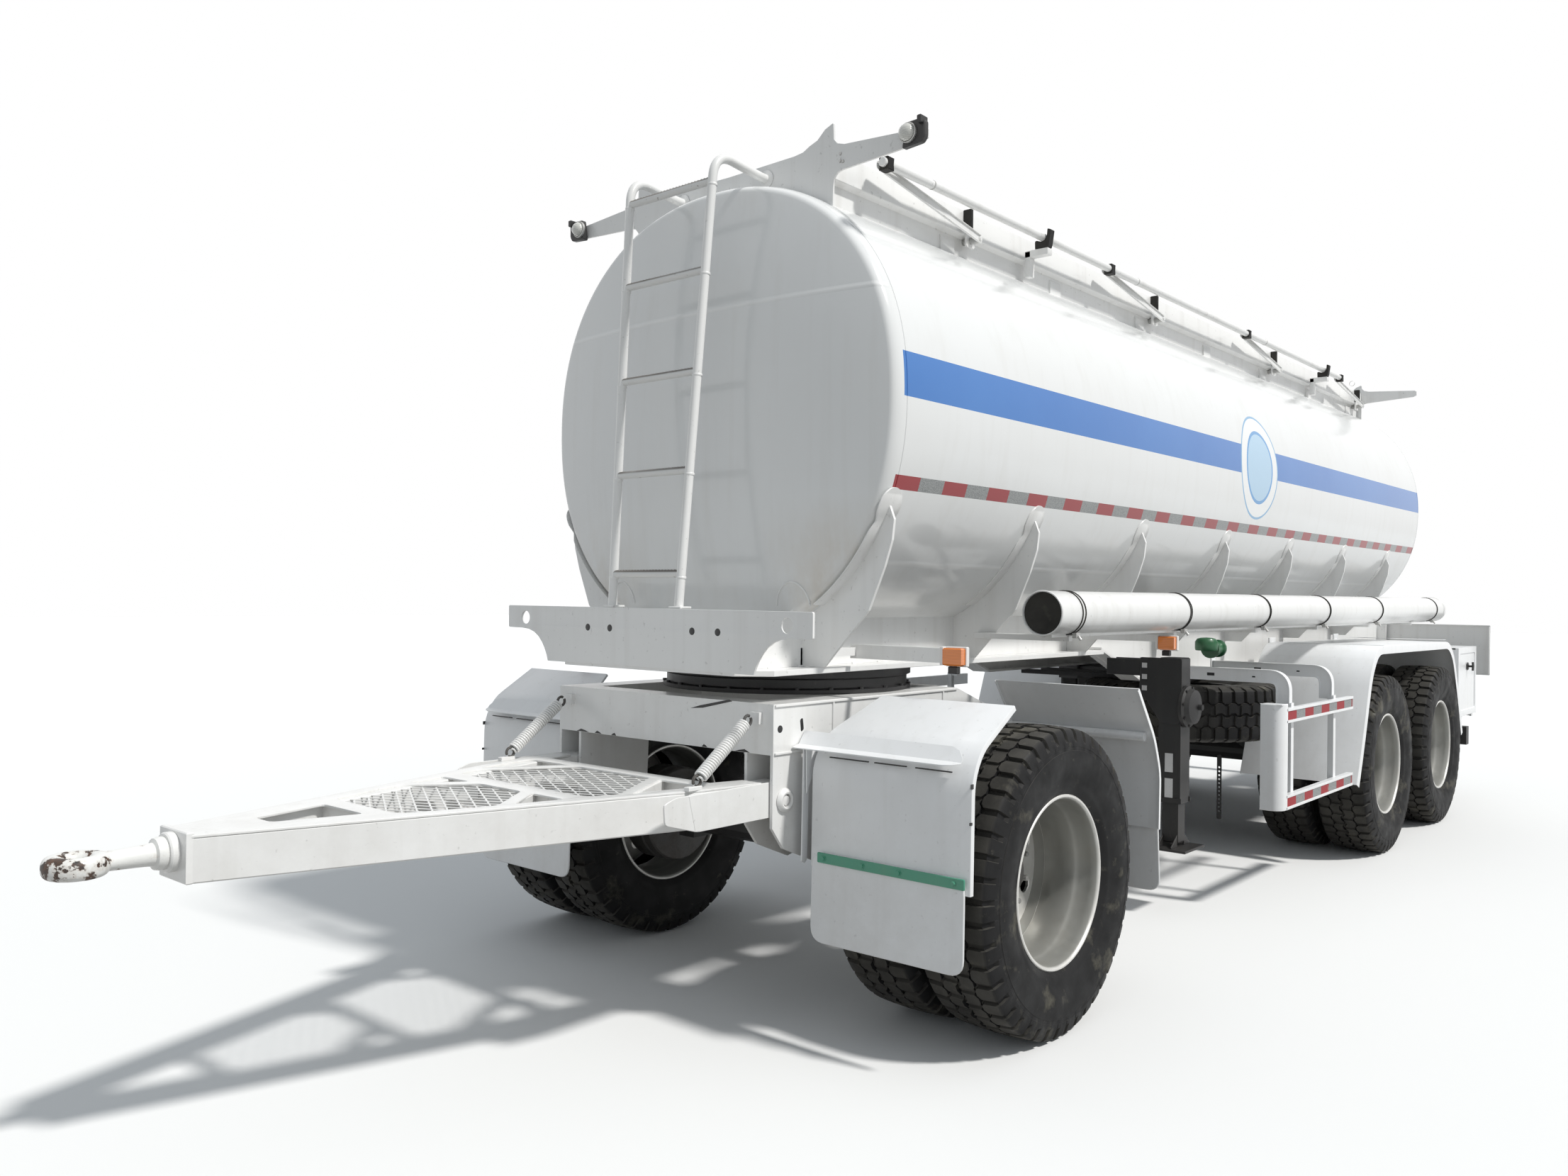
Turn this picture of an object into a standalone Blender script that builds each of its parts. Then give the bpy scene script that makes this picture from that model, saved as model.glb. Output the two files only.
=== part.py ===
"""Three-axle drawbar tank trailer: welded cradle, oval tank, steered front dolly and twin wheels.

Metres, +Z up, +X towards the drawbar. The lengths below are measured from the front axle, and the
finished part is shifted so that its origin lies on the ground in the middle of its length.
"""
import math

import bmesh
import bpy
from mathutils import Matrix, Vector

# Overall reach from the front axle, and the seat gap between pieces that touch.
EYE_REACH = 2.716
REAR_REACH = 7.0
SEAT = 0.0003
MIDDLE = (REAR_REACH - EYE_REACH) / 2

# Wheels: twin tyres on every station.
TYRE_RADIUS = 0.53
TYRE_WIDTH = 0.30
TWIN_SPACING = 0.337
HALF_TRACK = 1.275
RIM_WIDTH = 0.24
RIM_SEAT_RADIUS = 0.2857
RIM_FLANGE_RADIUS = 0.2985
FLANGE_THICKNESS = 0.012
WHEEL_SEGMENTS = 16
HUB_RADIUS = 0.085
HUB_BORE = 0.047
SPINDLE_RADIUS = 0.0462
DRUM_RADIUS = 0.205
AXLE_TUBE_RADIUS = 0.063
MIDDLE_AXLE_X = -4.07
REAR_AXLE_X = -5.39
OUTER_TYRE_Y = HALF_TRACK - TYRE_WIDTH / 2
INNER_TYRE_Y = OUTER_TYRE_Y - TWIN_SPACING
RIM_FACE_Y = OUTER_TYRE_Y + RIM_WIDTH / 2
HUB_FACE_Y = OUTER_TYRE_Y + 0.01
SPINDLE_END_Y = HUB_FACE_Y - 0.085
DRUM_INNER_Y = INNER_TYRE_Y - 0.188
DRUM_OUTER_Y = INNER_TYRE_Y - 0.028

# Springs stand inside the drums, and the beams of the dolly and the cradle stand over them.
DRUM_CLEARANCE = 0.04
BEAM_WIDTH = 0.13
SPRING_OUTER_Y = DRUM_INNER_Y - DRUM_CLEARANCE
SPRING_INNER_Y = SPRING_OUTER_Y - BEAM_WIDTH
SPRING_Y = (SPRING_OUTER_Y + SPRING_INNER_Y) / 2
SPRING_WIDTH = 0.089
SPRING_EYE_Z = 0.755
PIN_SETBACK = 0.002

# Tank: a superellipse with dished heads.
TANK_HALF_WIDTH = 0.883
TANK_HALF_HEIGHT = 0.8535
TANK_CENTRE_Z = 2.177
TANK_POWER = 2.18
TANK_FRONT_X = 0.488
TANK_LENGTH = 6.858
TANK_SEGMENTS = 40
KNUCKLE = 0.055
HEAD_DISH = 0.085

# Cradle under the tank.
RAIL_Y = SPRING_INNER_Y
RAIL_WEB = 0.012
BASE_Z = 1.225
BASE_PLATE = 0.02
BASE_HALF_WIDTH = 0.54
STEP_FRONT_X = -1.76
STEP_REAR_X = -2.25
REAR_RAIL_Z = 1.07
RAIL_FLANGE = 0.11
GUSSET_XS = (0.425, -0.564, -1.567, -2.6, -3.6, -4.65, -5.7)
GUSSET_PLATE = 0.012
FRONT_PLATE_X = 0.798
FRONT_PLATE = 0.01
FRONT_PLATE_HALF_WIDTH = 0.792
FRONT_PLATE_TOP = 1.448

# Rear board and under-run bar.
BOARD_HALF_WIDTH = 1.25
BOARD_BOTTOM = 0.93
BOARD_TOP = 1.32
BOARD_DEPTH = 0.05
BUMPER_X = -6.88
BUMPER_HALF_WIDTH = 1.12
BUMPER_BOTTOM = 0.39
BUMPER_TOP = 0.53

# Top of the tank.
COAMING_Y = 0.515
COAMING_SHEET = 0.01
COAMING_TOP = 3.10
WING_FRONT_X = 0.37
WING_REAR_X = -6.17
WING_SHEET = 0.01
WING_REACH = 0.92
HORN_TOP = 3.195
MANHOLE_XS = (-1.75, -4.35)
MANHOLE_RADIUS = 0.25
MANHOLE_TOP = 3.09
LID_RADIUS = 0.235

# Folding handrail on the left.
POST_XS = (-0.54, -2.37, -4.20, -6.03)
POST_PIVOT_Z = 2.98
POST_REACH = 0.70
POST_RISE = 0.11
POST_Y = 0.560
POST_SHEET = 0.010
HANDRAIL_Y = 0.596
HANDRAIL_RADIUS = 0.0175
REST_XS = (-1.02, -4.96)
REST_PAD = 0.032
REST_ARM = 0.03

# Turntable and dolly.
RING_RADIUS = 0.5
RING_BORE = 0.41
DOLLY_TOP = 1.134
DOLLY_BOTTOM = 0.963
DOLLY_FRONT_X = 0.718
DOLLY_REAR_X = -0.78
HANGER_SHEET = 0.012
PIVOT_X = 0.659
PIVOT_Z = 0.812
PIVOT_PIN = 0.018
PIVOT_CLEARANCE = 0.004
SPRING_PIN = 0.014
SPRING_LUG = 0.017

# Drawbar.
DRAWBAR_BOTTOM = 0.751
DRAWBAR_TOP = 0.875
TOW_EYE_REACH = 0.301
DRAWBAR_FRONT_X = EYE_REACH - TOW_EYE_REACH
DRAWBAR_NOSE_HALF = 0.08
DRAWBAR_END_Y = SPRING_Y
DRAWBAR_REAR_X = 0.75
DRAWBAR_END_WIDTH = 0.088
EYE_Z = 0.825
EYE_RADIUS = 0.075
EYE_HOLE = 0.025

MUDGUARD_SHEET = 0.006


def smooth_outline(points, radius, steps=3, closed=True):
    """Rounds each corner of a polyline with an arc-like curve, cut back by the radius."""
    count = len(points)
    result = []
    for index, point in enumerate(points):
        corner = Vector(point)
        if not closed and index in (0, count - 1):
            result.append(corner)
            continue
        before = Vector(points[index - 1]) - corner
        after = Vector(points[(index + 1) % count]) - corner
        reach = min(radius, before.length * 0.45, after.length * 0.45)
        start = corner + before.normalized() * reach
        end = corner + after.normalized() * reach
        for step in range(steps + 1):
            t = step / steps
            result.append(start * (1 - t) ** 2 + corner * 2 * t * (1 - t) + end * t ** 2)
    return [tuple(p) for p in result]


def to_solid(bm):
    """Links a bmesh as a scratch object with its faces pointing outwards."""
    bmesh.ops.remove_doubles(bm, verts=bm.verts, dist=0.00002)
    bmesh.ops.recalc_face_normals(bm, faces=bm.faces)
    mesh = bpy.data.meshes.new("solid")
    bm.to_mesh(mesh)
    bm.free()
    solid = bpy.data.objects.new("solid", mesh)
    bpy.context.scene.collection.objects.link(solid)
    return solid


def prism(outline, axis, low, high):
    """Extrudes an outline: (y, z) along x, (x, z) along y or (x, y) along z."""
    bm = bmesh.new()
    layers = []
    for level in (low, high):
        layer = []
        for u, v in outline:
            place = {"x": (level, u, v), "y": (u, level, v), "z": (u, v, level)}[axis]
            layer.append(bm.verts.new(place))
        layers.append(layer)
    bm.faces.new(layers[0])
    bm.faces.new(list(reversed(layers[1])))
    count = len(outline)
    for i in range(count):
        j = (i + 1) % count
        bm.faces.new((layers[0][i], layers[1][i], layers[1][j], layers[0][j]))
    return to_solid(bm)


def block(x, y, z):
    """A box between two values on each axis."""
    outline = [(x[0], y[0]), (x[1], y[0]), (x[1], y[1]), (x[0], y[1])]
    return prism(outline, "z", z[0], z[1])


def turned(profile, axis, centre, segments=20, flats=False):
    """Turns (radius, height) points about an axis; a profile that starts on the axis ends on it.

    With flats the radii are those of the flats, and one flat faces down.
    """
    scale = 1 / math.cos(math.pi / segments) if flats else 1.0
    bm = bmesh.new()
    rings = []
    for radius, height in profile:
        ring = []
        for k in range(segments if radius > 0 else 1):
            angle = (k + 0.5) * 2 * math.pi / segments - math.pi / 2
            u = radius * scale * math.cos(angle)
            v = radius * scale * math.sin(angle)
            place = {"x": (height, u, v), "y": (u, height, v), "z": (u, v, height)}[axis]
            ring.append(bm.verts.new(Vector(centre) + Vector(place)))
        rings.append(ring)
    pairs = list(zip(rings, rings[1:]))
    if profile[0][0] > 0:
        pairs.append((rings[-1], rings[0]))
    for low, high in pairs:
        for k in range(segments):
            n = (k + 1) % segments
            if len(low) == 1:
                bm.faces.new((low[0], high[k], high[n]))
            elif len(high) == 1:
                bm.faces.new((low[k], high[0], low[n]))
            else:
                bm.faces.new((low[k], high[k], high[n], low[n]))
    return to_solid(bm)


def tube(path, radius, sides=8):
    """A closed round bar that follows a path of points."""
    points = [Vector(p) for p in path]
    bm = bmesh.new()
    rings = []
    normal = None
    for i, point in enumerate(points):
        ahead = points[min(i + 1, len(points) - 1)] - point
        behind = point - points[max(i - 1, 0)]
        tangent = (ahead.normalized() + behind.normalized()).normalized()
        if normal is None:
            side = Vector((0, 0, 1)) if abs(tangent.z) < 0.9 else Vector((0, 1, 0))
            normal = tangent.cross(side).normalized()
        normal = (normal - tangent * normal.dot(tangent)).normalized()
        other = tangent.cross(normal)
        ring = []
        for k in range(sides):
            angle = (k + 0.5) * 2 * math.pi / sides
            offset = normal * math.cos(angle) + other * math.sin(angle)
            ring.append(bm.verts.new(point + offset * radius))
        rings.append(ring)
    for low, high in zip(rings, rings[1:]):
        for k in range(sides):
            n = (k + 1) % sides
            bm.faces.new((low[k], high[k], high[n], low[n]))
    bm.faces.new(rings[0])
    bm.faces.new(list(reversed(rings[-1])))
    return to_solid(bm)


def strip(path, thickness, y_low, y_high):
    """A bent sheet: an (x, z) polyline given a thickness to its right and extruded along y."""
    points = [Vector(p) for p in path]
    offset = []
    for i, point in enumerate(points):
        ahead = points[min(i + 1, len(points) - 1)] - point
        behind = point - points[max(i - 1, 0)]
        tangent = (ahead.normalized() + behind.normalized()).normalized()
        offset.append(tuple(point + Vector((tangent.y, -tangent.x)) * thickness))
    outline = [tuple(p) for p in points] + list(reversed(offset))
    return prism(outline, "y", y_low, y_high)


def combine(target, others, operation):
    """Applies one exact Boolean of a solid with a group of others, which are then removed."""
    if not others:
        return target
    group = bpy.data.collections.new("operands")
    for other in others:
        group.objects.link(other)
    modifier = target.modifiers.new("combine", "BOOLEAN")
    modifier.operation = operation
    modifier.operand_type = "COLLECTION"
    modifier.collection = group
    modifier.solver = "EXACT"
    graph = bpy.context.evaluated_depsgraph_get()
    mesh = bpy.data.meshes.new_from_object(target.evaluated_get(graph))
    target.modifiers.clear()
    target.data = mesh
    bpy.data.collections.remove(group)
    for other in others:
        bpy.data.objects.remove(other)
    return target


def finish(name, solids, colour, cutters=(), origin=(0, 0, 0), roughness=0.5, metallic=0.0):
    """Fuses the solids, takes the cutters away and gives the piece its name, origin and paint."""
    piece = combine(solids[0], solids[1:], "UNION")
    piece = combine(piece, list(cutters), "DIFFERENCE")
    mesh = piece.data
    bm = bmesh.new()
    bm.from_mesh(mesh)
    bmesh.ops.remove_doubles(bm, verts=bm.verts, dist=0.00001)
    bmesh.ops.dissolve_degenerate(bm, edges=bm.edges, dist=0.00001)
    bm.to_mesh(mesh)
    bm.free()
    piece.name = name
    mesh.name = name
    mesh.transform(Matrix.Translation(-Vector(origin)))
    piece.location = Vector(origin) + Vector((MIDDLE, 0, 0))
    material = bpy.data.materials.new(name + "_finish")
    material.use_nodes = True
    shader = material.node_tree.nodes["Principled BSDF"]
    shader.inputs["Base Color"].default_value = (*colour, 1)
    shader.inputs["Roughness"].default_value = roughness
    shader.inputs["Metallic"].default_value = metallic
    mesh.materials.clear()
    mesh.materials.append(material)
    mesh.shade_smooth()
    mesh.set_sharp_from_angle(angle=math.radians(35))
    return piece


WHITE = (0.78, 0.77, 0.73)
BLACK = (0.03, 0.03, 0.03)
STEEL = (0.55, 0.55, 0.55)


def tank_ring(scale, x, grow):
    """One section of the tank: |y/a|^n + |z/b|^n = 1, shrunk by the scale."""
    ring = []
    for k in range(TANK_SEGMENTS):
        angle = (k + 0.5) * 2 * math.pi / TANK_SEGMENTS
        c = math.cos(angle)
        s = math.sin(angle)
        y = math.copysign(abs(c) ** (2 / TANK_POWER), c) * (TANK_HALF_WIDTH * scale + grow)
        z = math.copysign(abs(s) ** (2 / TANK_POWER), s) * (TANK_HALF_HEIGHT * scale + grow)
        ring.append((x, y, TANK_CENTRE_Z + z))
    return ring


def tank_solid(grow=0.0):
    """The tank with its rounded knuckles and dished heads; grown a little it is the seat cutter."""
    half = [(1.0, -KNUCKLE), (0.991, -0.3 * KNUCKLE), (0.965, 0.0), (0.60, 0.65 * HEAD_DISH)]
    rear_x = TANK_FRONT_X - TANK_LENGTH
    bm = bmesh.new()
    rings = []
    for scale, x in reversed(half):
        rings.append([bm.verts.new(p) for p in tank_ring(scale, rear_x - x - grow, grow)])
    for scale, x in half:
        rings.append([bm.verts.new(p) for p in tank_ring(scale, TANK_FRONT_X + x + grow, grow)])
    count = TANK_SEGMENTS
    for low, high in zip(rings, rings[1:]):
        for k in range(count):
            n = (k + 1) % count
            bm.faces.new((low[k], high[k], high[n], low[n]))
    for ring, x in ((rings[0], rear_x - HEAD_DISH - grow), (rings[-1], TANK_FRONT_X + HEAD_DISH + grow)):
        crown = bm.verts.new((x, 0, TANK_CENTRE_Z))
        for k in range(count):
            bm.faces.new((ring[k], ring[(k + 1) % count], crown))
    return to_solid(bm)


def build_tank():
    finish("tank", [tank_solid()], WHITE, roughness=0.3)


def build_rail(side, name):
    """One web of the cradle with its flange and the seven brackets that hold the tank."""
    end_x = -REAR_REACH + BOARD_DEPTH + SEAT
    front_x = FRONT_PLATE_X - FRONT_PLATE - SEAT
    top = TANK_CENTRE_Z - TANK_HALF_HEIGHT * 0.7
    nose_top = FRONT_PLATE_TOP - 0.03
    bottom = BASE_Z + BASE_PLATE + SEAT
    web = [(front_x, bottom), (front_x, nose_top), (TANK_FRONT_X, nose_top), (TANK_FRONT_X, top)]
    web += [(TANK_FRONT_X - TANK_LENGTH, top), (TANK_FRONT_X - TANK_LENGTH, BOARD_TOP - 0.01)]
    web += [(end_x, BOARD_TOP - 0.01), (end_x, REAR_RAIL_Z), (STEP_REAR_X, REAR_RAIL_Z)]
    web += [(STEP_FRONT_X, bottom)]
    y_low, y_high = sorted((side * RAIL_Y, side * (RAIL_Y + RAIL_WEB)))
    solids = [prism(web, "y", y_low, y_high)]
    foot = [(STEP_FRONT_X - 0.03, bottom), (STEP_REAR_X, REAR_RAIL_Z), (end_x, REAR_RAIL_Z)]
    y_low, y_high = sorted((side * (RAIL_Y - 0.03), side * (RAIL_Y + RAIL_FLANGE - 0.03)))
    solids.append(strip(foot, 0.012, y_low, y_high))
    bracket = [(RAIL_Y, BASE_Z + 0.021), (0.542, BASE_Z + 0.021), (0.62, 1.33), (0.735, 1.45)]
    bracket += [(0.80, 1.60), (0.83, 1.69), (0.838, 1.76), (0.818, 1.81), (0.70, 1.80), (RAIL_Y, 1.55)]
    bracket = [(side * y, z) for y, z in bracket]
    for x in GUSSET_XS:
        solids.append(prism(bracket, "x", x - GUSSET_PLATE / 2, x + GUSSET_PLATE / 2))
    lamp_x = 0.28
    arm = sorted((side * 0.55, side * 0.575))
    solids.append(block((lamp_x - 0.01, GUSSET_XS[0]), arm, (1.285, 1.315)))
    bar = sorted((side * 0.55, side * 0.98))
    solids.append(block((lamp_x - 0.01, lamp_x + 0.01), bar, (1.275, 1.325)))
    finish(name, solids, WHITE, [tank_solid(SEAT)])


def build_frame_front():
    """The base plate over the turntable with the upright front plate on it."""
    w = BASE_HALF_WIDTH
    rear = STEP_FRONT_X
    front = FRONT_PLATE_X - FRONT_PLATE / 2
    base = [(rear, -w), (front - 0.1, -w), (front, -w + 0.1), (front, w - 0.1), (front - 0.1, w), (rear, w)]
    solids = [prism(base, "z", BASE_Z, BASE_Z + BASE_PLATE)]
    edge = FRONT_PLATE_HALF_WIDTH
    half = [(0.0, BASE_Z + 0.01), (0.547, BASE_Z + 0.01), (0.555, 1.29), (0.58, 1.33), (0.63, 1.355)]
    half += [(edge - 0.02, 1.36), (edge, 1.38), (edge, FRONT_PLATE_TOP - 0.03)]
    half += [(edge - 0.03, FRONT_PLATE_TOP), (0.0, FRONT_PLATE_TOP)]
    plate = half[1:-1] + [(-y, z) for y, z in reversed(half[1:-1])]
    solids.append(prism(plate, "x", FRONT_PLATE_X - FRONT_PLATE, FRONT_PLATE_X))
    inner = RAIL_Y - SEAT
    for x in (0.40, -0.60, -1.60):
        solids.append(block((x - 0.04, x + 0.04), (-inner, inner), (BASE_Z + 0.01, 1.315)))
    holes = []
    for y in (-0.682, 0.682):
        holes.append(turned([(0, -0.02), (0.026, -0.02), (0.026, 0.02), (0, 0.02)], "x",
                            (FRONT_PLATE_X - FRONT_PLATE / 2, y, 1.401), 12))
    finish("frame_front", solids, WHITE, holes)


def hanger(x_front, x_rear, top, bottom, side):
    """Two spring plates either side of a spring, rounded at their feet."""
    outline = [(x_front, top), (x_front, bottom + 0.04), (x_front - 0.05, bottom)]
    outline += [(x_rear + 0.05, bottom), (x_rear, bottom + 0.04), (x_rear, top)]
    plates = []
    for y in (SPRING_INNER_Y + 0.0005, SPRING_OUTER_Y - HANGER_SHEET - 0.0005):
        span = sorted((side * y, side * (y + HANGER_SHEET)))
        plates.append(prism(outline, "y", span[0], span[1]))
    return plates


def pin(x, z, y_low, y_high, radius=0.015):
    """A round cross pin along y."""
    return turned([(0, y_low), (radius, y_low), (radius, y_high), (0, y_high)], "y", (x, 0, z), 8, True)


def build_bogie():
    """Sub-frame of the rear axles: two beams under the rails, five cross members and the hangers."""
    top = REAR_RAIL_Z - SEAT
    bottom = 0.98
    front = -3.38
    rear = -6.05
    solids = []
    for side in (-1, 1):
        span = sorted((side * SPRING_INNER_Y, side * SPRING_OUTER_Y))
        solids.append(block((rear, front), span, (bottom, top)))
        for x in (-3.50, -4.73, -5.95):
            solids += hanger(x + 0.09, x - 0.09, bottom + 0.01, 0.70, side)
        for x in (-3.50, -4.66, -4.80, -5.95):
            ends = sorted((side * (SPRING_INNER_Y + PIN_SETBACK), side * (SPRING_OUTER_Y - PIN_SETBACK)))
            solids.append(pin(x, SPRING_EYE_Z, ends[0], ends[1], SPRING_PIN))
    for x in (-3.45, -4.07, -4.73, -5.39, -5.98):
        across = (-SPRING_INNER_Y - 0.02, SPRING_INNER_Y + 0.02)
        solids.append(block((x - 0.035, x + 0.035), across, (bottom + 0.01, top - 0.01)))
    finish("bogie_frame", solids, BLACK)


def build_rear_board():
    """The folded board across the tail, with its lips turned forwards."""
    x_back = -REAR_REACH
    front = x_back + BOARD_DEPTH
    sheet = 0.008
    w = BOARD_HALF_WIDTH
    solids = [block((x_back, x_back + sheet), (-w, w), (BOARD_BOTTOM, BOARD_TOP))]
    solids.append(block((x_back + 0.001, front), (-w, w), (BOARD_TOP - sheet, BOARD_TOP)))
    solids.append(block((x_back + 0.001, front), (-w, w), (BOARD_BOTTOM, BOARD_BOTTOM + sheet)))
    for side in (-1, 1):
        ends = sorted((side * w, side * (w - sheet)))
        solids.append(block((x_back + 0.001, front), ends, (BOARD_BOTTOM + 0.001, BOARD_TOP - 0.001)))
        rib = sorted((side * (RAIL_Y - 0.03), side * (RAIL_Y + RAIL_FLANGE - 0.03)))
        solids.append(block((x_back + 0.001, front), rib, (REAR_RAIL_Z, BOARD_TOP - 0.001)))
    finish("rear_board", solids, WHITE)


def build_bumper():
    """Under-run bar on two arms below the rails."""
    solids = []
    w = BUMPER_HALF_WIDTH
    bar = [(BUMPER_X - 0.02, BUMPER_BOTTOM), (BUMPER_X + 0.06, BUMPER_BOTTOM)]
    bar += [(BUMPER_X + 0.06, BUMPER_TOP), (BUMPER_X - 0.02, BUMPER_TOP)]
    solids.append(prism(bar, "y", -w, w))
    for side in (-1, 1):
        span = sorted((side * (RAIL_Y + 0.02), side * (RAIL_Y + 0.07)))
        height = (BUMPER_TOP - 0.05, REAR_RAIL_Z - SEAT)
        solids.append(block((BUMPER_X - 0.01, BUMPER_X + 0.05), span, height))
    finish("rear_bumper", solids, BLACK)


def wing_outline(reach, horn):
    """Half of a wing plate in (y, z): horn, side arm and the foot that the tank cuts."""
    arm_low = 3.02
    arm_high = 3.10
    outline = [(0.0, 2.9), (COAMING_Y, 2.80), (COAMING_Y, arm_low - 0.01), (COAMING_Y + 0.03, arm_low)]
    outline += [(reach - 0.02, arm_low + 0.015), (reach, arm_low + 0.03), (reach, arm_high - 0.02)]
    outline += [(reach - 0.03, arm_high - 0.005), (COAMING_Y + 0.03, arm_high + 0.01)]
    outline += [(COAMING_Y, arm_high + 0.03), (COAMING_Y, horn), (COAMING_Y - 0.03, horn)]
    outline += [(COAMING_Y - 0.07, 3.15), (0.37, 3.118), (0.2, 3.11), (0.0, 3.11)]
    return outline


def build_top_frame():
    """Wing plates, coamings, handrail brackets and rests, seated on the tank."""
    solids = []
    for x, reach, horn in ((WING_FRONT_X, WING_REACH, HORN_TOP), (WING_REAR_X, 0.90, 3.16)):
        half = wing_outline(reach, horn)
        outline = half[1:-1] + [(-y, z) for y, z in reversed(half[1:-1])]
        solids.append(prism(outline, "x", x - WING_SHEET / 2, x + WING_SHEET / 2))
    for side in (-1, 1):
        span = sorted((side * COAMING_Y, side * (COAMING_Y - COAMING_SHEET)))
        solids.append(block((WING_REAR_X, WING_FRONT_X), span, (2.80, COAMING_TOP)))
    for x in POST_XS:
        solids.append(pin(x, POST_PIVOT_Z, COAMING_Y - 0.005, POST_Y - SEAT, 0.02))
    rest_top = POST_PIVOT_Z + POST_RISE - HANDRAIL_RADIUS - REST_PAD
    rest_span = (COAMING_Y - 0.005, HANDRAIL_Y + 0.03)
    for x in REST_XS:
        solids.append(block((x - 0.02, x + 0.02), rest_span, (rest_top - REST_ARM, rest_top)))
    finish("top_frame", solids, WHITE, [tank_solid(SEAT)])


def build_manhole(index, x):
    """A manhole neck on the crown of the tank and its hinged lid."""
    neck = [(0, 2.9), (MANHOLE_RADIUS, 2.9), (MANHOLE_RADIUS, MANHOLE_TOP - 0.03)]
    neck += [(MANHOLE_RADIUS + 0.02, MANHOLE_TOP - 0.03), (MANHOLE_RADIUS + 0.02, MANHOLE_TOP)]
    neck += [(0, MANHOLE_TOP)]
    solids = [turned(neck, "z", (x, 0, 0), 16)]
    hinge_x = x - LID_RADIUS - 0.03
    hinge_z = MANHOLE_TOP + 0.022
    for y in (-0.065, 0.05):
        ear = block((hinge_x - 0.012, hinge_x + 0.012), (y, y + 0.015), (MANHOLE_TOP - 0.01, hinge_z + 0.012))
        solids.append(ear)
    solids.append(pin(hinge_x, hinge_z, -0.055, 0.055, 0.005))
    finish("manhole_%d" % index, solids, STEEL, [tank_solid(SEAT)], metallic=0.6)
    base = MANHOLE_TOP + SEAT
    lid = [(0, base), (LID_RADIUS, base), (LID_RADIUS, base + 0.02)]
    lid += [(LID_RADIUS - 0.04, base + 0.032), (0, base + 0.04)]
    parts = [turned(lid, "z", (x, 0, 0), 16)]
    strap = block((hinge_x, x - 0.15), (-0.04, 0.04), (hinge_z - 0.004, hinge_z + 0.012))
    knuckle = pin(hinge_x, hinge_z, -0.044, 0.044, 0.012)
    parts += [strap, knuckle]
    bore = [pin(hinge_x, hinge_z, -0.06, 0.06, 0.0058)]
    finish("manhole_lid_%d" % index, parts, STEEL, bore, (hinge_x, 0, hinge_z), metallic=0.6)


def build_ladder():
    """Ladder that leans back over the front head, with its stiles bent onto the wing plate."""
    solids = []
    foot_z = FRONT_PLATE_TOP + SEAT
    bend_z = 3.03
    end_x = WING_FRONT_X + WING_SHEET / 2 + SEAT

    def stile(height, side):
        share = (height - foot_z) / (bend_z - foot_z)
        return (0.775 - 0.115 * share, -0.015 - 0.01 * share + side * (0.175 + 0.045 * share), height)

    for side in (-1, 1):
        top = stile(bend_z, side)
        rough = [stile(foot_z, side), top, (0.61, top[1], 3.11)]
        rough += [(0.50, top[1], 3.085), (end_x, top[1], 3.085)]
        path = smooth_outline(rough, 0.06, 2, closed=False)
        solids.append(tube(path, 0.017, 6))
    for height in (1.572, 1.939, 2.293, 2.657, 2.98):
        solids.append(tube([stile(height, -1), stile(height, 1)], 0.014, 6))
    for side in (-1, 1):
        foot = stile(foot_z, side)
        pad_width = (foot[1] - 0.03, foot[1] + 0.03)
        pad = block((FRONT_PLATE_X - 0.06, FRONT_PLATE_X), pad_width, (foot_z, foot_z + 0.01))
        solids.append(pad)
    finish("ladder", solids, WHITE)


def build_hose_tube():
    """Hose tube along the left side, on its strap feet."""
    x_front = -0.35
    x_rear = -6.40
    centre_y = 0.97
    centre_z = 1.442
    radius = 0.085
    lip = radius + 0.006
    profile = [(0, x_rear), (lip, x_rear), (lip, x_rear + 0.05), (radius, x_rear + 0.05)]
    profile += [(radius, x_front - 0.05), (lip, x_front - 0.05), (lip, x_front), (0, x_front)]
    solids = [turned(profile, "x", (0, centre_y, centre_z), 16)]
    for x in GUSSET_XS[1:]:
        reach = sorted((0.60, centre_y))
        solids.append(block((x + 0.0063, x + 0.035), reach, (1.335, 1.365)))
    solids.append(block((x_rear + 0.05, x_front - 0.05), (0.94, 0.985), (1.335, 1.362)))
    finish("hose_tube", solids, WHITE, [tank_solid(SEAT)], roughness=0.4)


def build_landing_leg(side, name):
    """Raised landing leg with its gearbox, foot and the bracket to the rail."""
    x = -1.90
    y = side * 0.84
    solids = [block((x - 0.055, x + 0.055), (y - 0.055, y + 0.055), (0.52, 1.22))]
    solids.append(block((x - 0.04, x + 0.04), (y - 0.04, y + 0.04), (0.32, 0.53)))
    solids.append(block((x - 0.12, x + 0.12), (y - 0.11, y + 0.11), (0.30, 0.325)))
    solids.append(block((x - 0.045, x + 0.045), (y - 0.10, y + 0.10), (0.80, 1.0)))
    reach = sorted((side * (RAIL_Y - 0.03 + RAIL_FLANGE + SEAT), y))
    brace = [(x - 0.06, 1.21), (x - 0.06, 1.12), (x + 0.06, 1.12), (x + 0.06, 1.21)]
    solids.append(prism(brace, "y", reach[0], reach[1]))
    finish(name, solids, BLACK)


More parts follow.
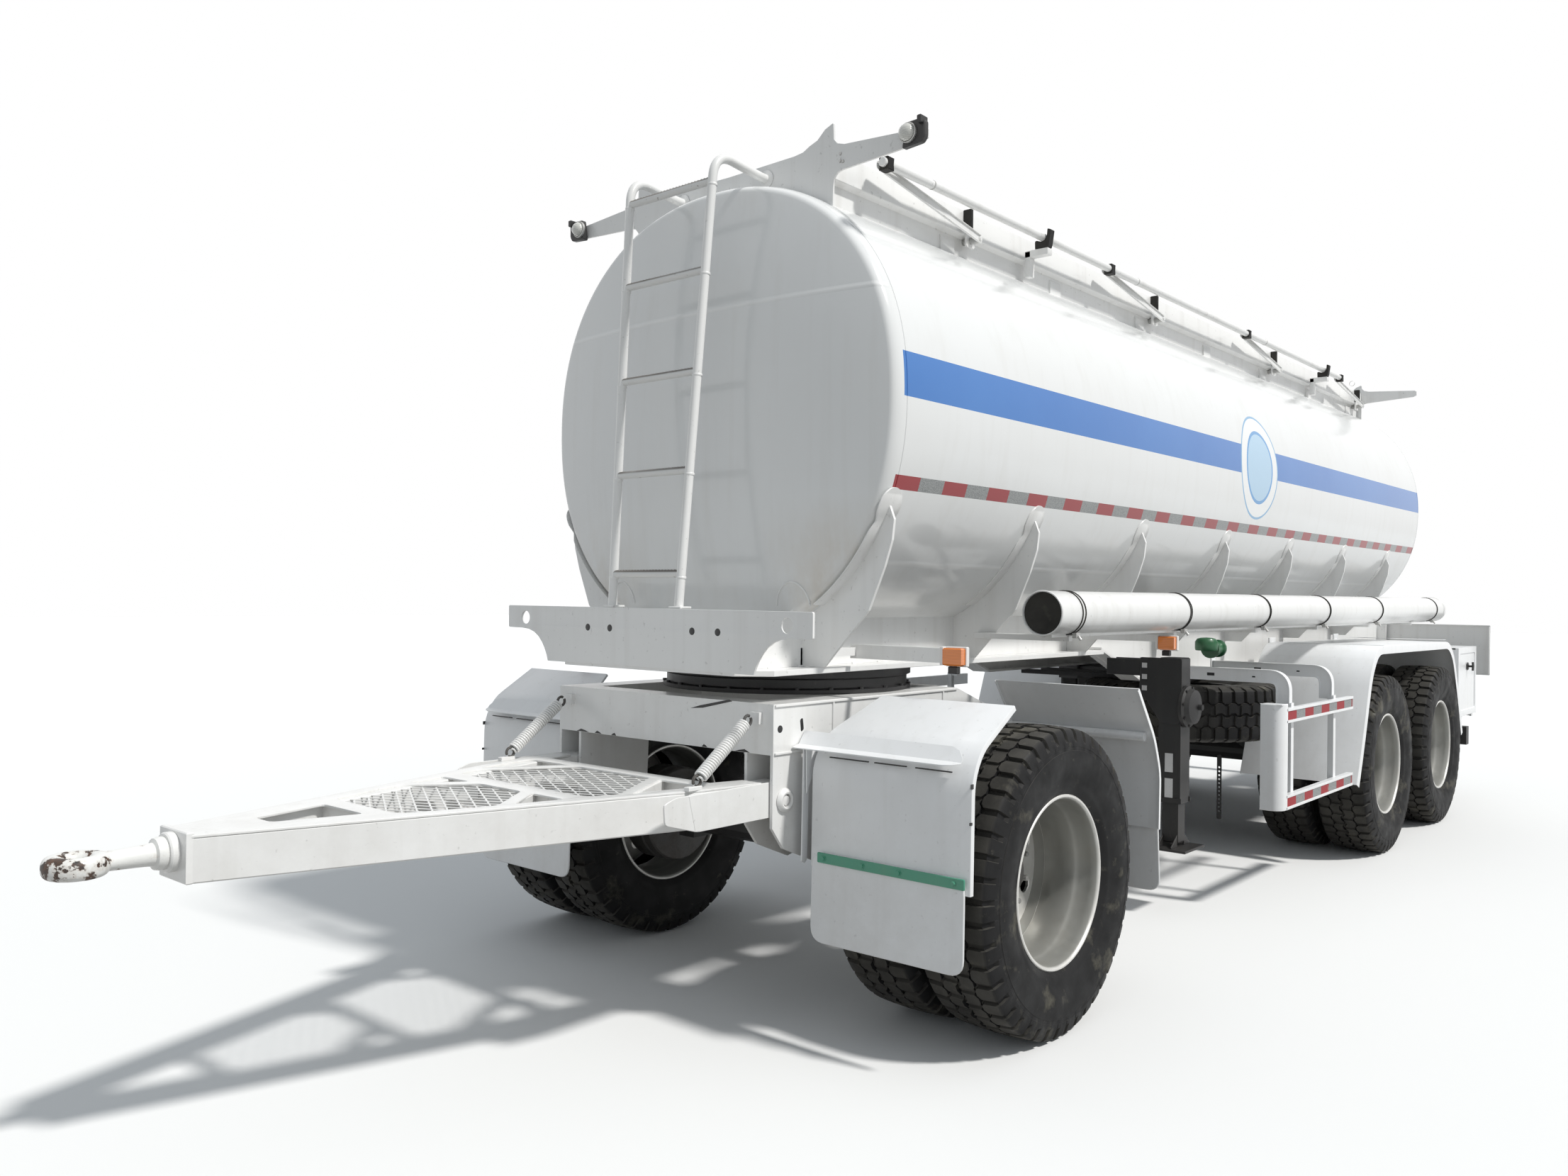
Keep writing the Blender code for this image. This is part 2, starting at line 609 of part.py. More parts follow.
def build_side_guard(side, name):
    """Side guard: two rails, two posts and two bent arms to the frame."""
    y_out = 1.255
    y_in = 1.225
    span = sorted((side * y_in, side * y_out))
    solids = []
    x_front = -2.185
    x_rear = -3.33
    for low, high in ((0.485, 0.555), (0.905, 0.975)):
        solids.append(block((x_rear, x_front - 0.02), span, (low, high)))
    nose = [(x_front - 0.06, 0.50), (x_front, 0.54), (x_front, 0.96), (x_front - 0.06, 0.999)]
    nose += [(x_front - 0.03, 0.93)]
    nose += [(x_front - 0.03, 0.57)]
    solids.append(prism(nose, "y", span[0], span[1]))
    inner = sorted((side * (y_in - 0.04), side * (y_in + 0.005)))
    for x in (-2.42, -3.10):
        solids.append(block((x - 0.025, x + 0.025), inner, (0.50, 1.0)))
    root = side * (RAIL_Y + RAIL_WEB + SEAT)
    for x in (-2.42, -3.10):
        rough = [(x, root, 1.115), (x, side * 1.10, 1.115), (x, side * 1.20, 1.06), (x, side * 1.205, 0.96)]
        solids.append(tube(smooth_outline(rough, 0.06, 2, closed=False), 0.025, 6))
    finish(name, solids, WHITE)


def build_rear_mudguard(side, name):
    """One long mudguard over both rear wheels, on two tubes from the rail."""
    path = [(-3.40, 0.479), (-3.50, 0.70), (-3.66, 1.10), (-3.805, 1.238), (-5.567, 1.225)]
    path += [(-5.72, 1.13), (-5.88, 0.84), (-5.994, 0.565)]
    path = smooth_outline(path, 0.12, 2, closed=False)
    span = sorted((side * 0.61, side * 1.26))
    solids = [strip(path, -MUDGUARD_SHEET, span[0], span[1])]
    root = side * (RAIL_Y + RAIL_WEB + SEAT)
    for x in (-4.07, -5.39):
        solids.append(tube([(x, root, 1.213), (x, side * 1.24, 1.213)], 0.022, 8))
    finish(name, solids, WHITE)


def build_axle(name, x, mount_x_front, mount_x_rear):
    """A tube axle with its spindles and two leaf springs clamped on top."""
    shoulder = DRUM_INNER_Y - 0.01
    profile = [(0, -SPINDLE_END_Y), (SPINDLE_RADIUS, -SPINDLE_END_Y), (SPINDLE_RADIUS, -shoulder)]
    profile += [(AXLE_TUBE_RADIUS, -shoulder + 0.015)]
    profile += [(r, -h) for r, h in reversed(profile)]
    solids = [turned(profile, "y", (x, 0, TYRE_RADIUS), 12)]
    eye_z = SPRING_EYE_Z
    for side in (-1, 1):
        span = sorted((side * (SPRING_Y - SPRING_WIDTH / 2), side * (SPRING_Y + SPRING_WIDTH / 2)))
        seat_top = TYRE_RADIUS + 0.10
        end_z = eye_z - SPRING_PIN - SEAT
        leaf = [(mount_x_rear, end_z), (x - 0.30, seat_top + 0.035), (x - 0.1, seat_top - 0.005)]
        leaf += [(x + 0.1, seat_top - 0.005), (x + 0.30, seat_top + 0.035), (mount_x_front, end_z)]
        leaf += [(mount_x_front, eye_z - 0.040), (x + 0.16, seat_top - 0.065), (x - 0.16, seat_top - 0.065)]
        leaf += [(mount_x_rear, eye_z - 0.040)]
        solids.append(prism(leaf, "y", span[0], span[1]))
        solids.append(block((x - 0.075, x + 0.075), span, (TYRE_RADIUS - 0.075, seat_top + 0.02)))
    finish(name, solids, BLACK)


def build_turntable():
    """Ball-race ring between the dolly and the base plate."""
    low = DOLLY_TOP + SEAT
    high = BASE_Z - SEAT
    mid = (low + high) / 2
    profile = [(RING_BORE, low), (RING_RADIUS, low), (RING_RADIUS - 0.01, mid)]
    profile += [(RING_RADIUS, high), (RING_BORE, high)]
    finish("turntable_ring", [turned(profile, "z", (0, 0, 0), 24)], BLACK)


def build_dolly():
    """Dolly frame: side beams, cross beams and the spring and drawbar hangers."""
    solids = []
    side_outline = [(DOLLY_FRONT_X, DOLLY_TOP), (-0.40, DOLLY_TOP)]
    side_outline += [(DOLLY_REAR_X, 1.00), (DOLLY_REAR_X, 0.935)]
    side_outline += [(-0.45, DOLLY_BOTTOM), (DOLLY_FRONT_X, DOLLY_BOTTOM)]
    for side in (-1, 1):
        span = sorted((side * SPRING_INNER_Y, side * SPRING_OUTER_Y))
        solids.append(prism(side_outline, "y", span[0], span[1]))
        front = [(DOLLY_FRONT_X, DOLLY_BOTTOM + 0.01), (DOLLY_FRONT_X, 0.72), (0.66, 0.645), (0.50, 0.58)]
        front += [(0.40, 0.60), (0.37, 0.70), (0.36, DOLLY_BOTTOM + 0.01)]
        for y in (SPRING_INNER_Y + 0.0005, SPRING_OUTER_Y - HANGER_SHEET - 0.0005):
            plate = sorted((side * y, side * (y + HANGER_SHEET)))
            solids.append(prism(front, "y", plate[0], plate[1]))
        solids += hanger(-0.44, -0.62, DOLLY_BOTTOM + 0.01, 0.70, side)
        ends = sorted((side * (SPRING_INNER_Y + PIN_SETBACK), side * (SPRING_OUTER_Y - PIN_SETBACK)))
        solids.append(pin(-0.53, SPRING_EYE_Z, ends[0], ends[1], SPRING_PIN))
        solids.append(pin(0.46, SPRING_EYE_Z, ends[0], ends[1], SPRING_PIN))
        solids.append(pin(PIVOT_X, PIVOT_Z, ends[0], ends[1], PIVOT_PIN))
        lug = sorted((side * (SPRING_Y - 0.025), side * (SPRING_Y + 0.015)))
        solids.append(block((DOLLY_FRONT_X - 0.005, DOLLY_FRONT_X + SPRING_LUG), lug, (1.065, 1.105)))
    inner = SPRING_INNER_Y + 0.01
    for low, high in ((DOLLY_FRONT_X - 0.10, DOLLY_FRONT_X), (-0.04, 0.06), (-0.45, -0.37)):
        solids.append(block((low, high), (-inner, inner), (DOLLY_BOTTOM, DOLLY_TOP)))
    finish("dolly_frame", solids, WHITE)


def build_front_mudguard(side, name, path, arm, flap):
    """Half mudguard of the dolly with its flap and its carrying tube."""
    span = sorted((side * 0.62, side * 1.25))
    thickness = MUDGUARD_SHEET if path[0][0] > 0 else -MUDGUARD_SHEET
    solids = [strip(smooth_outline(path, 0.05, 2, closed=False), -thickness, span[0], span[1])]
    solids.append(prism(flap, "y", span[0] + 0.005, span[1] - 0.005))
    reach = sorted((side * (SPRING_OUTER_Y + SEAT), side * 1.23))
    solids.append(pin(arm[0], arm[1], reach[0], reach[1], 0.02))
    finish(name, solids, WHITE)


def build_front_mudguards():
    front = [(0.334, 1.154), (0.536, 1.031), (0.585, 0.94), (0.590, 0.588)]
    rear = [(-0.60, 1.160), (-0.748, 0.966), (-0.806, 0.823), (-0.80, 0.599)]
    front_flap = [(0.586, 0.64), (0.594, 0.64), (0.606, 0.34), (0.598, 0.34)]
    rear_flap = [(-0.806, 0.65), (-0.797, 0.65), (-0.822, 0.345), (-0.831, 0.345)]
    for side, word in ((1, "left"), (-1, "right")):
        build_front_mudguard(side, "mudguard_front_" + word, front, (0.520, 1.026), front_flap)
        build_front_mudguard(side, "mudguard_mid_" + word, rear, (-0.722, 0.976), rear_flap)


def build_drawbar():
    """A-frame drawbar with its pointed end boxes, cross members and tread panels."""
    origin = (PIVOT_X, 0, PIVOT_Z)
    solids = []
    half_end = DRAWBAR_END_WIDTH / 2
    nose_x = DRAWBAR_FRONT_X - 0.005
    cross_x = nose_x - 0.54
    rear_half = DRAWBAR_END_Y - half_end + 0.019
    cross_half = rear_half * (nose_x - cross_x) / (nose_x - DRAWBAR_REAR_X) + 0.022
    for side in (-1, 1):
        outer = DRAWBAR_END_Y + half_end
        inner = DRAWBAR_END_Y - half_end
        beam = [(DRAWBAR_REAR_X, inner), (nose_x, 0.0), (nose_x, DRAWBAR_NOSE_HALF), (1.0, outer - 0.035)]
        beam.append((DRAWBAR_REAR_X, outer))
        beam = [(x, side * y) for x, y in beam]
        solids.append(prism(beam, "z", DRAWBAR_BOTTOM, DRAWBAR_TOP - 0.007))
        end = [(0.605, PIVOT_Z - 0.03), (0.63, DRAWBAR_BOTTOM), (1.05, DRAWBAR_BOTTOM - 0.004)]
        end += [(1.22, 0.81), (1.05, DRAWBAR_TOP), (0.63, DRAWBAR_TOP), (0.605, PIVOT_Z + 0.03)]
        slab = sorted((side * (inner - 0.001), side * outer))
        solids.append(prism(end, "y", slab[0], slab[1]))
    solids.append(block((0.90, 0.98), (-rear_half, rear_half), (DRAWBAR_BOTTOM + 0.01, DRAWBAR_TOP - 0.01)))
    cross_height = (DRAWBAR_BOTTOM + 0.01, DRAWBAR_TOP - 0.01)
    solids.append(block((cross_x - 0.03, cross_x + 0.03), (-cross_half, cross_half), cross_height))
    tip = nose_x - 0.03
    panel = [(0.93, -rear_half), (tip, -0.07), (tip, 0.07), (0.93, rear_half)]
    solids.append(prism(panel, "z", DRAWBAR_TOP - 0.013, DRAWBAR_TOP - 0.0085))
    nose_half = DRAWBAR_NOSE_HALF
    nose_height = (DRAWBAR_BOTTOM - 0.001, DRAWBAR_TOP + 0.008)
    solids.append(block((nose_x - 0.015, DRAWBAR_FRONT_X), (-nose_half, nose_half), nose_height))
    bores = [pin(PIVOT_X, PIVOT_Z, -SPRING_OUTER_Y, SPRING_OUTER_Y, PIVOT_PIN + PIVOT_CLEARANCE)]
    finish("drawbar_frame", solids, WHITE, bores, origin)
    ring = [(EYE_HOLE, -0.012), (EYE_HOLE + 0.012, -0.028)]
    ring += [(EYE_RADIUS - 0.014, -0.028), (EYE_RADIUS, -0.012)]
    ring += [(r, -h) for r, h in reversed(ring)]
    eye_x = EYE_REACH - EYE_RADIUS
    parts = [turned(ring, "z", (eye_x, 0, EYE_Z), 16, True)]
    start = DRAWBAR_FRONT_X + SEAT
    shank = [(0, start), (0.042, start), (0.042, start + 0.03), (0.028, start + 0.045)]
    shank += [(0.026, eye_x - EYE_RADIUS + 0.03), (0, eye_x - EYE_RADIUS + 0.03)]
    parts.append(turned(shank, "x", (0, 0, EYE_Z), 8))
    finish("tow_eye", parts, BLACK, (), origin, metallic=0.7)


def build_drawbar_spring(side, name):
    """Balance spring of the drawbar: its outline, with a hook to the dolly and one to the drawbar."""
    y = side * (SPRING_Y - 0.005)
    head = Vector((DOLLY_FRONT_X + SPRING_LUG + SEAT, y, 1.085))
    start = head + Vector((0.02, 0, 0))
    foot = Vector((1.03, y, DRAWBAR_TOP + SEAT))
    end = foot + Vector((0, 0, 0.03))
    solids = [tube([start.lerp(end, 0.12), start.lerp(end, 0.88)], 0.022, 10)]
    solids.append(tube([head, start, end, foot], 0.008, 6))
    finish(name, solids, WHITE, (), (PIVOT_X, 0, PIVOT_Z))


def wheel_set(side, x, name):
    """Twin tyres and the fused rims, hub and brake drum of one station."""
    origin = (x, 0, TYRE_RADIUS)
    bead = RIM_SEAT_RADIUS + SEAT
    half_bead = RIM_WIDTH / 2 - FLANGE_THICKNESS - SEAT
    half = TYRE_WIDTH / 2
    loop = [(bead, half_bead), (RIM_FLANGE_RADIUS, half_bead), (0.40, half), (0.485, half - 0.008)]
    loop += [(TYRE_RADIUS, half - 0.034)]
    loop += [(r, -h) for r, h in reversed(loop)]
    for word, y in (("outer", OUTER_TYRE_Y), ("inner", INNER_TYRE_Y)):
        tyre = turned(loop, "y", (x, side * y, TYRE_RADIUS), WHEEL_SEGMENTS, True)
        finish("tyre_%s_%s" % (name, word), [tyre], BLACK, (), origin, 0.9)
    inner_edge = INNER_TYRE_Y - RIM_WIDTH / 2
    lip = RIM_FACE_Y
    disc_y = (OUTER_TYRE_Y + INNER_TYRE_Y) / 2
    profile = [(0, SPINDLE_END_Y + SEAT), (HUB_BORE, SPINDLE_END_Y + SEAT), (HUB_BORE, DRUM_INNER_Y)]
    profile += [(DRUM_RADIUS, DRUM_INNER_Y), (DRUM_RADIUS, DRUM_OUTER_Y)]
    profile += [(0.268, DRUM_OUTER_Y), (0.268, inner_edge)]
    profile += [(RIM_SEAT_RADIUS, inner_edge), (RIM_SEAT_RADIUS, lip - FLANGE_THICKNESS)]
    profile += [(RIM_FLANGE_RADIUS, lip - FLANGE_THICKNESS), (RIM_FLANGE_RADIUS, lip), (0.280, lip)]
    profile += [(0.266, disc_y + 0.075), (0.175, disc_y + 0.015), (HUB_RADIUS + 0.01, disc_y + 0.015)]
    profile += [(HUB_RADIUS - 0.01, HUB_FACE_Y - 0.012), (0, HUB_FACE_Y)]
    profile = [(r, side * h) for r, h in profile]
    rim = turned(profile, "y", (x, 0, TYRE_RADIUS), WHEEL_SEGMENTS, True)
    finish("rim_%s" % name, [rim], STEEL, (), origin, 0.4, 0.6)


def build_spare():
    """Spare wheel lying flat under the left rail, with the cradle that carries it."""
    centre = (-2.82, SPRING_Y - 0.005, 0.0)
    middle_z = 0.90
    bead = RIM_SEAT_RADIUS + SEAT
    half_bead = RIM_WIDTH / 2 - FLANGE_THICKNESS - SEAT
    half = TYRE_WIDTH / 2 - 0.01
    loop = [(bead, half_bead), (RIM_FLANGE_RADIUS, half_bead), (0.40, half), (0.485, half - 0.008)]
    loop += [(TYRE_RADIUS, half - 0.034)]
    loop += [(r, -h) for r, h in reversed(loop)]
    loop = [(r, middle_z + h) for r, h in loop]
    finish("spare_tyre", [turned(loop, "z", centre, WHEEL_SEGMENTS)], BLACK, (), (0, 0, 0), 0.9)
    low = middle_z - RIM_WIDTH / 2
    disc = middle_z + 0.02
    top = middle_z + RIM_WIDTH / 2
    profile = [(0, disc - 0.012), (0.19, disc - 0.012), (0.268, disc - 0.05), (0.272, low + 0.01)]
    profile += [(0.284, low), (RIM_FLANGE_RADIUS, low), (RIM_FLANGE_RADIUS, low + FLANGE_THICKNESS)]
    profile += [(RIM_SEAT_RADIUS, low + FLANGE_THICKNESS), (RIM_SEAT_RADIUS, top), (0.268, top)]
    profile += [(0.268, disc + 0.01), (0.19, disc), (0, disc)]
    solids = [turned(profile, "z", centre, WHEEL_SEGMENTS)]
    post_x = (centre[0] - 0.04, centre[0] + 0.04)
    solids.append(block(post_x, (centre[1] - 0.04, centre[1] + 0.04), (disc - 0.005, 1.05)))
    for x in (centre[0] - 0.12, centre[0] + 0.12):
        across = (-SPRING_INNER_Y - 0.01, centre[1] + 0.1)
        solids.append(block((x - 0.02, x + 0.02), across, (1.045, REAR_RAIL_Z - SEAT)))
    plate_x = (centre[0] - 0.13, centre[0] + 0.13)
    solids.append(block(plate_x, (centre[1] - 0.05, centre[1] + 0.05), (1.044, 1.068)))
    finish("spare_carrier", solids, BLACK)


def build_toolbox():
    """Tool locker behind the left wheels: an open box and its drop-down door."""
    x_low, x_high = -6.78, -6.18
    y_back, y_front = 0.56, 1.17
    z_low, z_high = 0.65, 1.16
    wall = 0.012
    shell = block((x_low, x_high), (y_back, y_front), (z_low, z_high))
    depth = (y_back + wall, y_front + 0.05)
    inside = block((x_low + wall, x_high - wall), depth, (z_low + wall, z_high - wall))
    brackets = []
    for x in (x_low + 0.1, x_high - 0.1):
        brackets.append(block((x - 0.02, x + 0.02), (RAIL_Y + RAIL_WEB + SEAT, y_back + 0.005), (1.09, 1.15)))
    hinge_y = y_front + 0.011
    hinge_z = z_low - 0.013
    ears = []
    ear = [(y_front - 0.03, z_low + 0.002), (y_front - 0.03, hinge_z - 0.007), (hinge_y, hinge_z - 0.007)]
    ear += [(hinge_y + 0.007, hinge_z), (hinge_y, hinge_z + 0.007), (y_front - 0.01, hinge_z + 0.007)]
    ear += [(y_front - 0.01, z_low + 0.002)]
    for x in (x_low + 0.08, x_high - 0.08):
        ears.append(prism(ear, "x", x - 0.01, x + 0.01))
    box = combine(shell, [inside], "DIFFERENCE")
    finish("toolbox", [box] + brackets + ears, WHITE)
    door_low = y_front + SEAT
    door_high = y_front + 0.022
    door = [(door_low, z_low + 0.001), (door_high, z_low + 0.001), (door_high, z_high), (door_low, z_high)]
    parts = [prism(door, "x", x_low, x_high)]
    for x in (x_low + 0.12, x_high - 0.12):
        leaf_depth = (hinge_y - 0.007, hinge_y + 0.007)
        parts.append(block((x - 0.02, x + 0.02), leaf_depth, (hinge_z - 0.007, z_low + 0.01)))
    parts.append(block((-6.56, -6.40), (door_high - 0.002, 1.205), (1.08, 1.10)))
    parts.append(block((-6.49, -6.47), (door_high - 0.002, 1.205), (1.02, 1.09)))
    finish("toolbox_door", parts, WHITE, (), (0, hinge_y, hinge_z))


def build_handrail():
    """Folding handrail: four posts on the coaming and the bar that they carry."""
    end_y = POST_Y + POST_SHEET
    rise = Vector((POST_REACH, 0, POST_RISE))
    for index, x in enumerate(POST_XS):
        base = Vector((x, 0, POST_PIVOT_Z))
        along = rise.normalized()
        across = Vector((-along.z, 0, along.x))
        half = 0.02
        corners = [base - along * 0.02 - across * half, base + rise + along * 0.02 - across * half]
        corners += [base + rise + along * 0.02 + across * half, base - along * 0.02 + across * half]
        outline = smooth_outline([(c.x, c.z) for c in corners], 0.018, 2)
        post = prism(outline, "y", POST_Y, end_y)
        finish("handrail_post_%d" % (index + 1), [post], WHITE, (), tuple(base))
    bar_z = POST_PIVOT_Z + POST_RISE
    first = POST_XS[0] + POST_REACH
    last = POST_XS[-1] + POST_REACH
    solids = [tube([(last - 0.04, HANDRAIL_Y, bar_z), (first + 0.03, HANDRAIL_Y, bar_z)], HANDRAIL_RADIUS, 8)]
    for x in POST_XS:
        solids.append(pin(x + POST_REACH, bar_z, end_y + SEAT, HANDRAIL_Y, 0.012))
    finish("handrail_bar", solids, WHITE, (), (POST_XS[2] + POST_REACH, 0, bar_z))


def main():
    for old in list(bpy.data.objects):
        bpy.data.objects.remove(old)
    build_tank()
    build_rail(1, "rail_left")
    build_rail(-1, "rail_right")
    build_frame_front()
    build_bogie()
    build_rear_board()
    build_bumper()
    build_top_frame()
    for index, x in enumerate(MANHOLE_XS):
        build_manhole(index + 1, x)
    build_ladder()
    build_hose_tube()
    for side, word in ((1, "left"), (-1, "right")):
        build_landing_leg(side, "landing_leg_" + word)
        build_side_guard(side, "side_guard_" + word)
        build_rear_mudguard(side, "rear_mudguard_" + word)
        wheel_set(side, 0.0, "front_" + word)
        wheel_set(side, MIDDLE_AXLE_X, "middle_" + word)
        wheel_set(side, REAR_AXLE_X, "rear_" + word)
        build_drawbar_spring(side, "drawbar_spring_" + word)
    build_axle("axle_front", 0.0, 0.46, -0.53)
    build_axle("axle_middle", MIDDLE_AXLE_X, -3.50, -4.66)
    build_axle("axle_rear", REAR_AXLE_X, -4.80, -5.95)
    build_turntable()
    build_dolly()
    build_front_mudguards()
    build_drawbar()
    build_spare()
    build_toolbox()
    build_handrail()


main()
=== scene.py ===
import math

import bmesh
import bpy
import numpy as np
from mathutils import Matrix, Vector


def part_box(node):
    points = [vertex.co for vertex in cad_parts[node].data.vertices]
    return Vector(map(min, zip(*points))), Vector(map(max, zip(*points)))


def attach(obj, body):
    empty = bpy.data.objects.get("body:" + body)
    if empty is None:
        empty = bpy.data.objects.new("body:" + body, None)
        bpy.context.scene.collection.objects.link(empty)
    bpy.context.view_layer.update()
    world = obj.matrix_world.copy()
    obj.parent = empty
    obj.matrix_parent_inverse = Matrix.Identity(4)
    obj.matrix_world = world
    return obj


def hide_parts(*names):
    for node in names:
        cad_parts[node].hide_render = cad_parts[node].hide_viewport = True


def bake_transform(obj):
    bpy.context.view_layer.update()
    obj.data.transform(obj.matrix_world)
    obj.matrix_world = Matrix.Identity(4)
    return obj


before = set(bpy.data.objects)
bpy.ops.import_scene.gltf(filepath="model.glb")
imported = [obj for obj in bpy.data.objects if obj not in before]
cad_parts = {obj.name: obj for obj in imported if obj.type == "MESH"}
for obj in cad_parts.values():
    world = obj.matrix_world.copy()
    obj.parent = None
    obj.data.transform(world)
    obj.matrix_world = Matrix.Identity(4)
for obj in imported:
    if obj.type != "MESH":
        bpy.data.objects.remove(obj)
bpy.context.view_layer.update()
print("frame loaded")

# Places below are metres from the front axle; the frame's origin lies midway along the trailer.
axleX = float((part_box("rim_front_left")[0][0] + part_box("rim_front_left")[1][0]) / 2)
scene = bpy.context.scene
hands = ((1, "left"), (-1, "right"))


# Grid of points P[i, j] joined by quads; closed directions wrap round, and caps close the ends in j.
def gridShape(points, closedU=True, closedV=False, capLow=False, capHigh=False):
    points = np.asarray(points, dtype=float)
    rows, cols = points.shape[:2]
    index = np.arange(rows * cols).reshape(rows, cols)
    uNext = np.roll(index, -1, axis=0) if closedU else index[1:]
    uHere = index if closedU else index[:-1]
    vHere = slice(None) if closedV else slice(0, cols - 1)
    a = uHere[:, vHere]
    b = uNext[:, vHere]
    c = np.roll(uNext, -1, axis=1)[:, vHere]
    d = np.roll(uHere, -1, axis=1)[:, vHere]
    faces = np.stack([a, b, c, d], axis=-1).reshape(-1, 4)
    polygons = [faces]
    if capLow:
        polygons.append(index[::-1, 0][None, :])
    if capHigh:
        polygons.append(index[:, -1][None, :])
    return points.reshape(-1, 3), polygons


# Puts several shapes into one list of points and faces.
def joinShapes(shapes):
    allPoints, allFaces, shift = [], [], 0
    for points, polygons in shapes:
        allPoints.append(points)
        allFaces += [group + shift for group in polygons]
        shift += len(points)
    return np.concatenate(allPoints), allFaces


def movedShape(shape, offset=(0, 0, 0), mirrorY=False):
    points, polygons = shape
    points = points.copy()
    if mirrorY:
        points[:, 1] *= -1
        polygons = [group[:, ::-1] for group in polygons]
    return points + np.asarray(offset, dtype=float), polygons


# Makes the mesh object of a piece, lets it ride on its body and hides the nodes that it stands for.
def addPiece(name, shape, material, body, replaced=(), smoothAngle=35, slotName=None):
    points, polygons = shape
    mesh = bpy.data.meshes.new(name)
    faces = [face for group in polygons for face in group.tolist()]
    mesh.from_pydata(points.tolist(), [], faces)
    shell = bmesh.new()
    shell.from_mesh(mesh)
    bmesh.ops.recalc_face_normals(shell, faces=shell.faces)
    shell.to_mesh(mesh)
    shell.free()
    mesh.materials.append(material)
    mesh.shade_smooth()
    mesh.set_sharp_from_angle(angle=math.radians(smoothAngle))
    piece = bpy.data.objects.new(name, mesh)
    scene.collection.objects.link(piece)
    if isinstance(body, str):
        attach(piece, body)
    else:
        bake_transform(piece)
    if replaced:
        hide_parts(*replaced)
    return piece


# Profile (radius, height) turned about an axis: P = centre + height * axis + radius * (cos t, sin t).
def turnedShape(profile, axis, centre, segments, closed=True):
    profile = np.asarray(profile, dtype=float)
    t = np.linspace(0, 2 * math.pi, segments, endpoint=False)
    radius, height = profile[:, 0][None, :], profile[:, 1][None, :]
    u = np.cos(t)[:, None] * radius
    v = np.sin(t)[:, None] * radius
    h = np.ones((segments, 1)) * height
    order = {"x": (h, u, v), "y": (v, h, u), "z": (u, v, h)}[axis]
    points = np.stack(order, axis=-1) + np.asarray(centre, dtype=float)
    return gridShape(points, closedU=True, closedV=closed, capLow=not closed, capHigh=not closed)


# Turned about a line along y, from a profile of radii and heights over a level.
def turnedOn(profile, level, centre, segments):
    return turnedShape([(radius, level + height) for radius, height in profile][::-1], "y", centre, segments)


# Places round a circle, each an equal share of a turn.
def around(count, radius, phase=0.0):
    angles = [(index + phase) * 2 * math.pi / count for index in range(count)]
    return [(radius * math.cos(angle), radius * math.sin(angle)) for angle in angles]


# Circle of a radius carried along a path, turned with the path's own frame: P = C(s) + r (N cos t + B sin t).
def pipeShape(path, radius, sides=12):
    path = np.asarray(path, dtype=float)
    tangents = np.gradient(path, axis=0)
    tangents /= np.linalg.norm(tangents, axis=1, keepdims=True)
    normals = np.zeros_like(tangents)
    start = np.array([0.0, 0, 1]) if abs(tangents[0, 2]) < 0.9 else np.array([0.0, 1, 0])
    normal = np.cross(tangents[0], start)
    for i, tangent in enumerate(tangents):
        normal = normal - tangent * normal.dot(tangent)
        normal /= np.linalg.norm(normal)
        normals[i] = normal
    binormals = np.cross(tangents, normals)
    t = np.linspace(0, 2 * math.pi, sides, endpoint=False)[:, None, None]
    size = np.broadcast_to(np.asarray(radius, dtype=float), (len(path),))[None, :, None]
    points = path[None] + size * (np.cos(t) * normals[None] + np.sin(t) * binormals[None])
    return gridShape(points, capLow=True, capHigh=True)


# Corners joined by straight runs, each corner rounded by a quadratic curve of the given reach.
def roundedPath(corners, reach, steps=6, closed=False):
    corners = np.asarray(corners, dtype=float)
    count = len(corners)
    share = np.linspace(0, 1, steps)[:, None]
    result = []
    for i in range(count):
        if not closed and i in (0, count - 1):
            result.append(corners[i][None])
            continue
        before = corners[i - 1] - corners[i]
        after = corners[(i + 1) % count] - corners[i]
        cut = min(reach, 0.48 * np.linalg.norm(before), 0.48 * np.linalg.norm(after))
        first = corners[i] + before / np.linalg.norm(before) * cut
        last = corners[i] + after / np.linalg.norm(after) * cut
        result.append(first * (1 - share) ** 2 + corners[i] * 2 * share * (1 - share) + last * share ** 2)
    return np.concatenate(result)


# Flat outline given a thickness along one axis, with a small chamfer round both faces.
def plateShape(outline, axis, low, high, chamfer=0.0015):
    outline = np.asarray(outline, dtype=float)
    area = np.sum(outline[:, 0] * np.roll(outline[:, 1], -1) - outline[:, 1] * np.roll(outline[:, 0], -1))
    if area < 0:
        outline = outline[::-1]
    ahead = np.roll(outline, -1, axis=0) - outline
    ahead /= np.linalg.norm(ahead, axis=1, keepdims=True)
    behind = np.roll(ahead, 1, axis=0)
    inward = np.stack([-(ahead + behind)[:, 1], (ahead + behind)[:, 0]], axis=1)
    inward /= np.maximum(np.sum(inward * np.stack([-ahead[:, 1], ahead[:, 0]], axis=1), axis=1)[:, None],
                         0.3)
    inner = outline + inward * chamfer
    layers = [(inner, low), (outline, low + chamfer), (outline, high - chamfer), (inner, high)]
    rows = []
    for flat, level in layers:
        height = np.full(len(flat), level)
        order = {"x": (height, flat[:, 0], flat[:, 1]), "y": (flat[:, 0], height, flat[:, 1]),
                 "z": (flat[:, 0], flat[:, 1], height)}[axis]
        rows.append(np.stack(order, axis=-1))
    points = np.stack(rows, axis=1)
    shape = gridShape(points, capLow=True, capHigh=True)
    if axis == "y":
        shape = (shape[0], [group[:, ::-1] for group in shape[1]])
    return shape


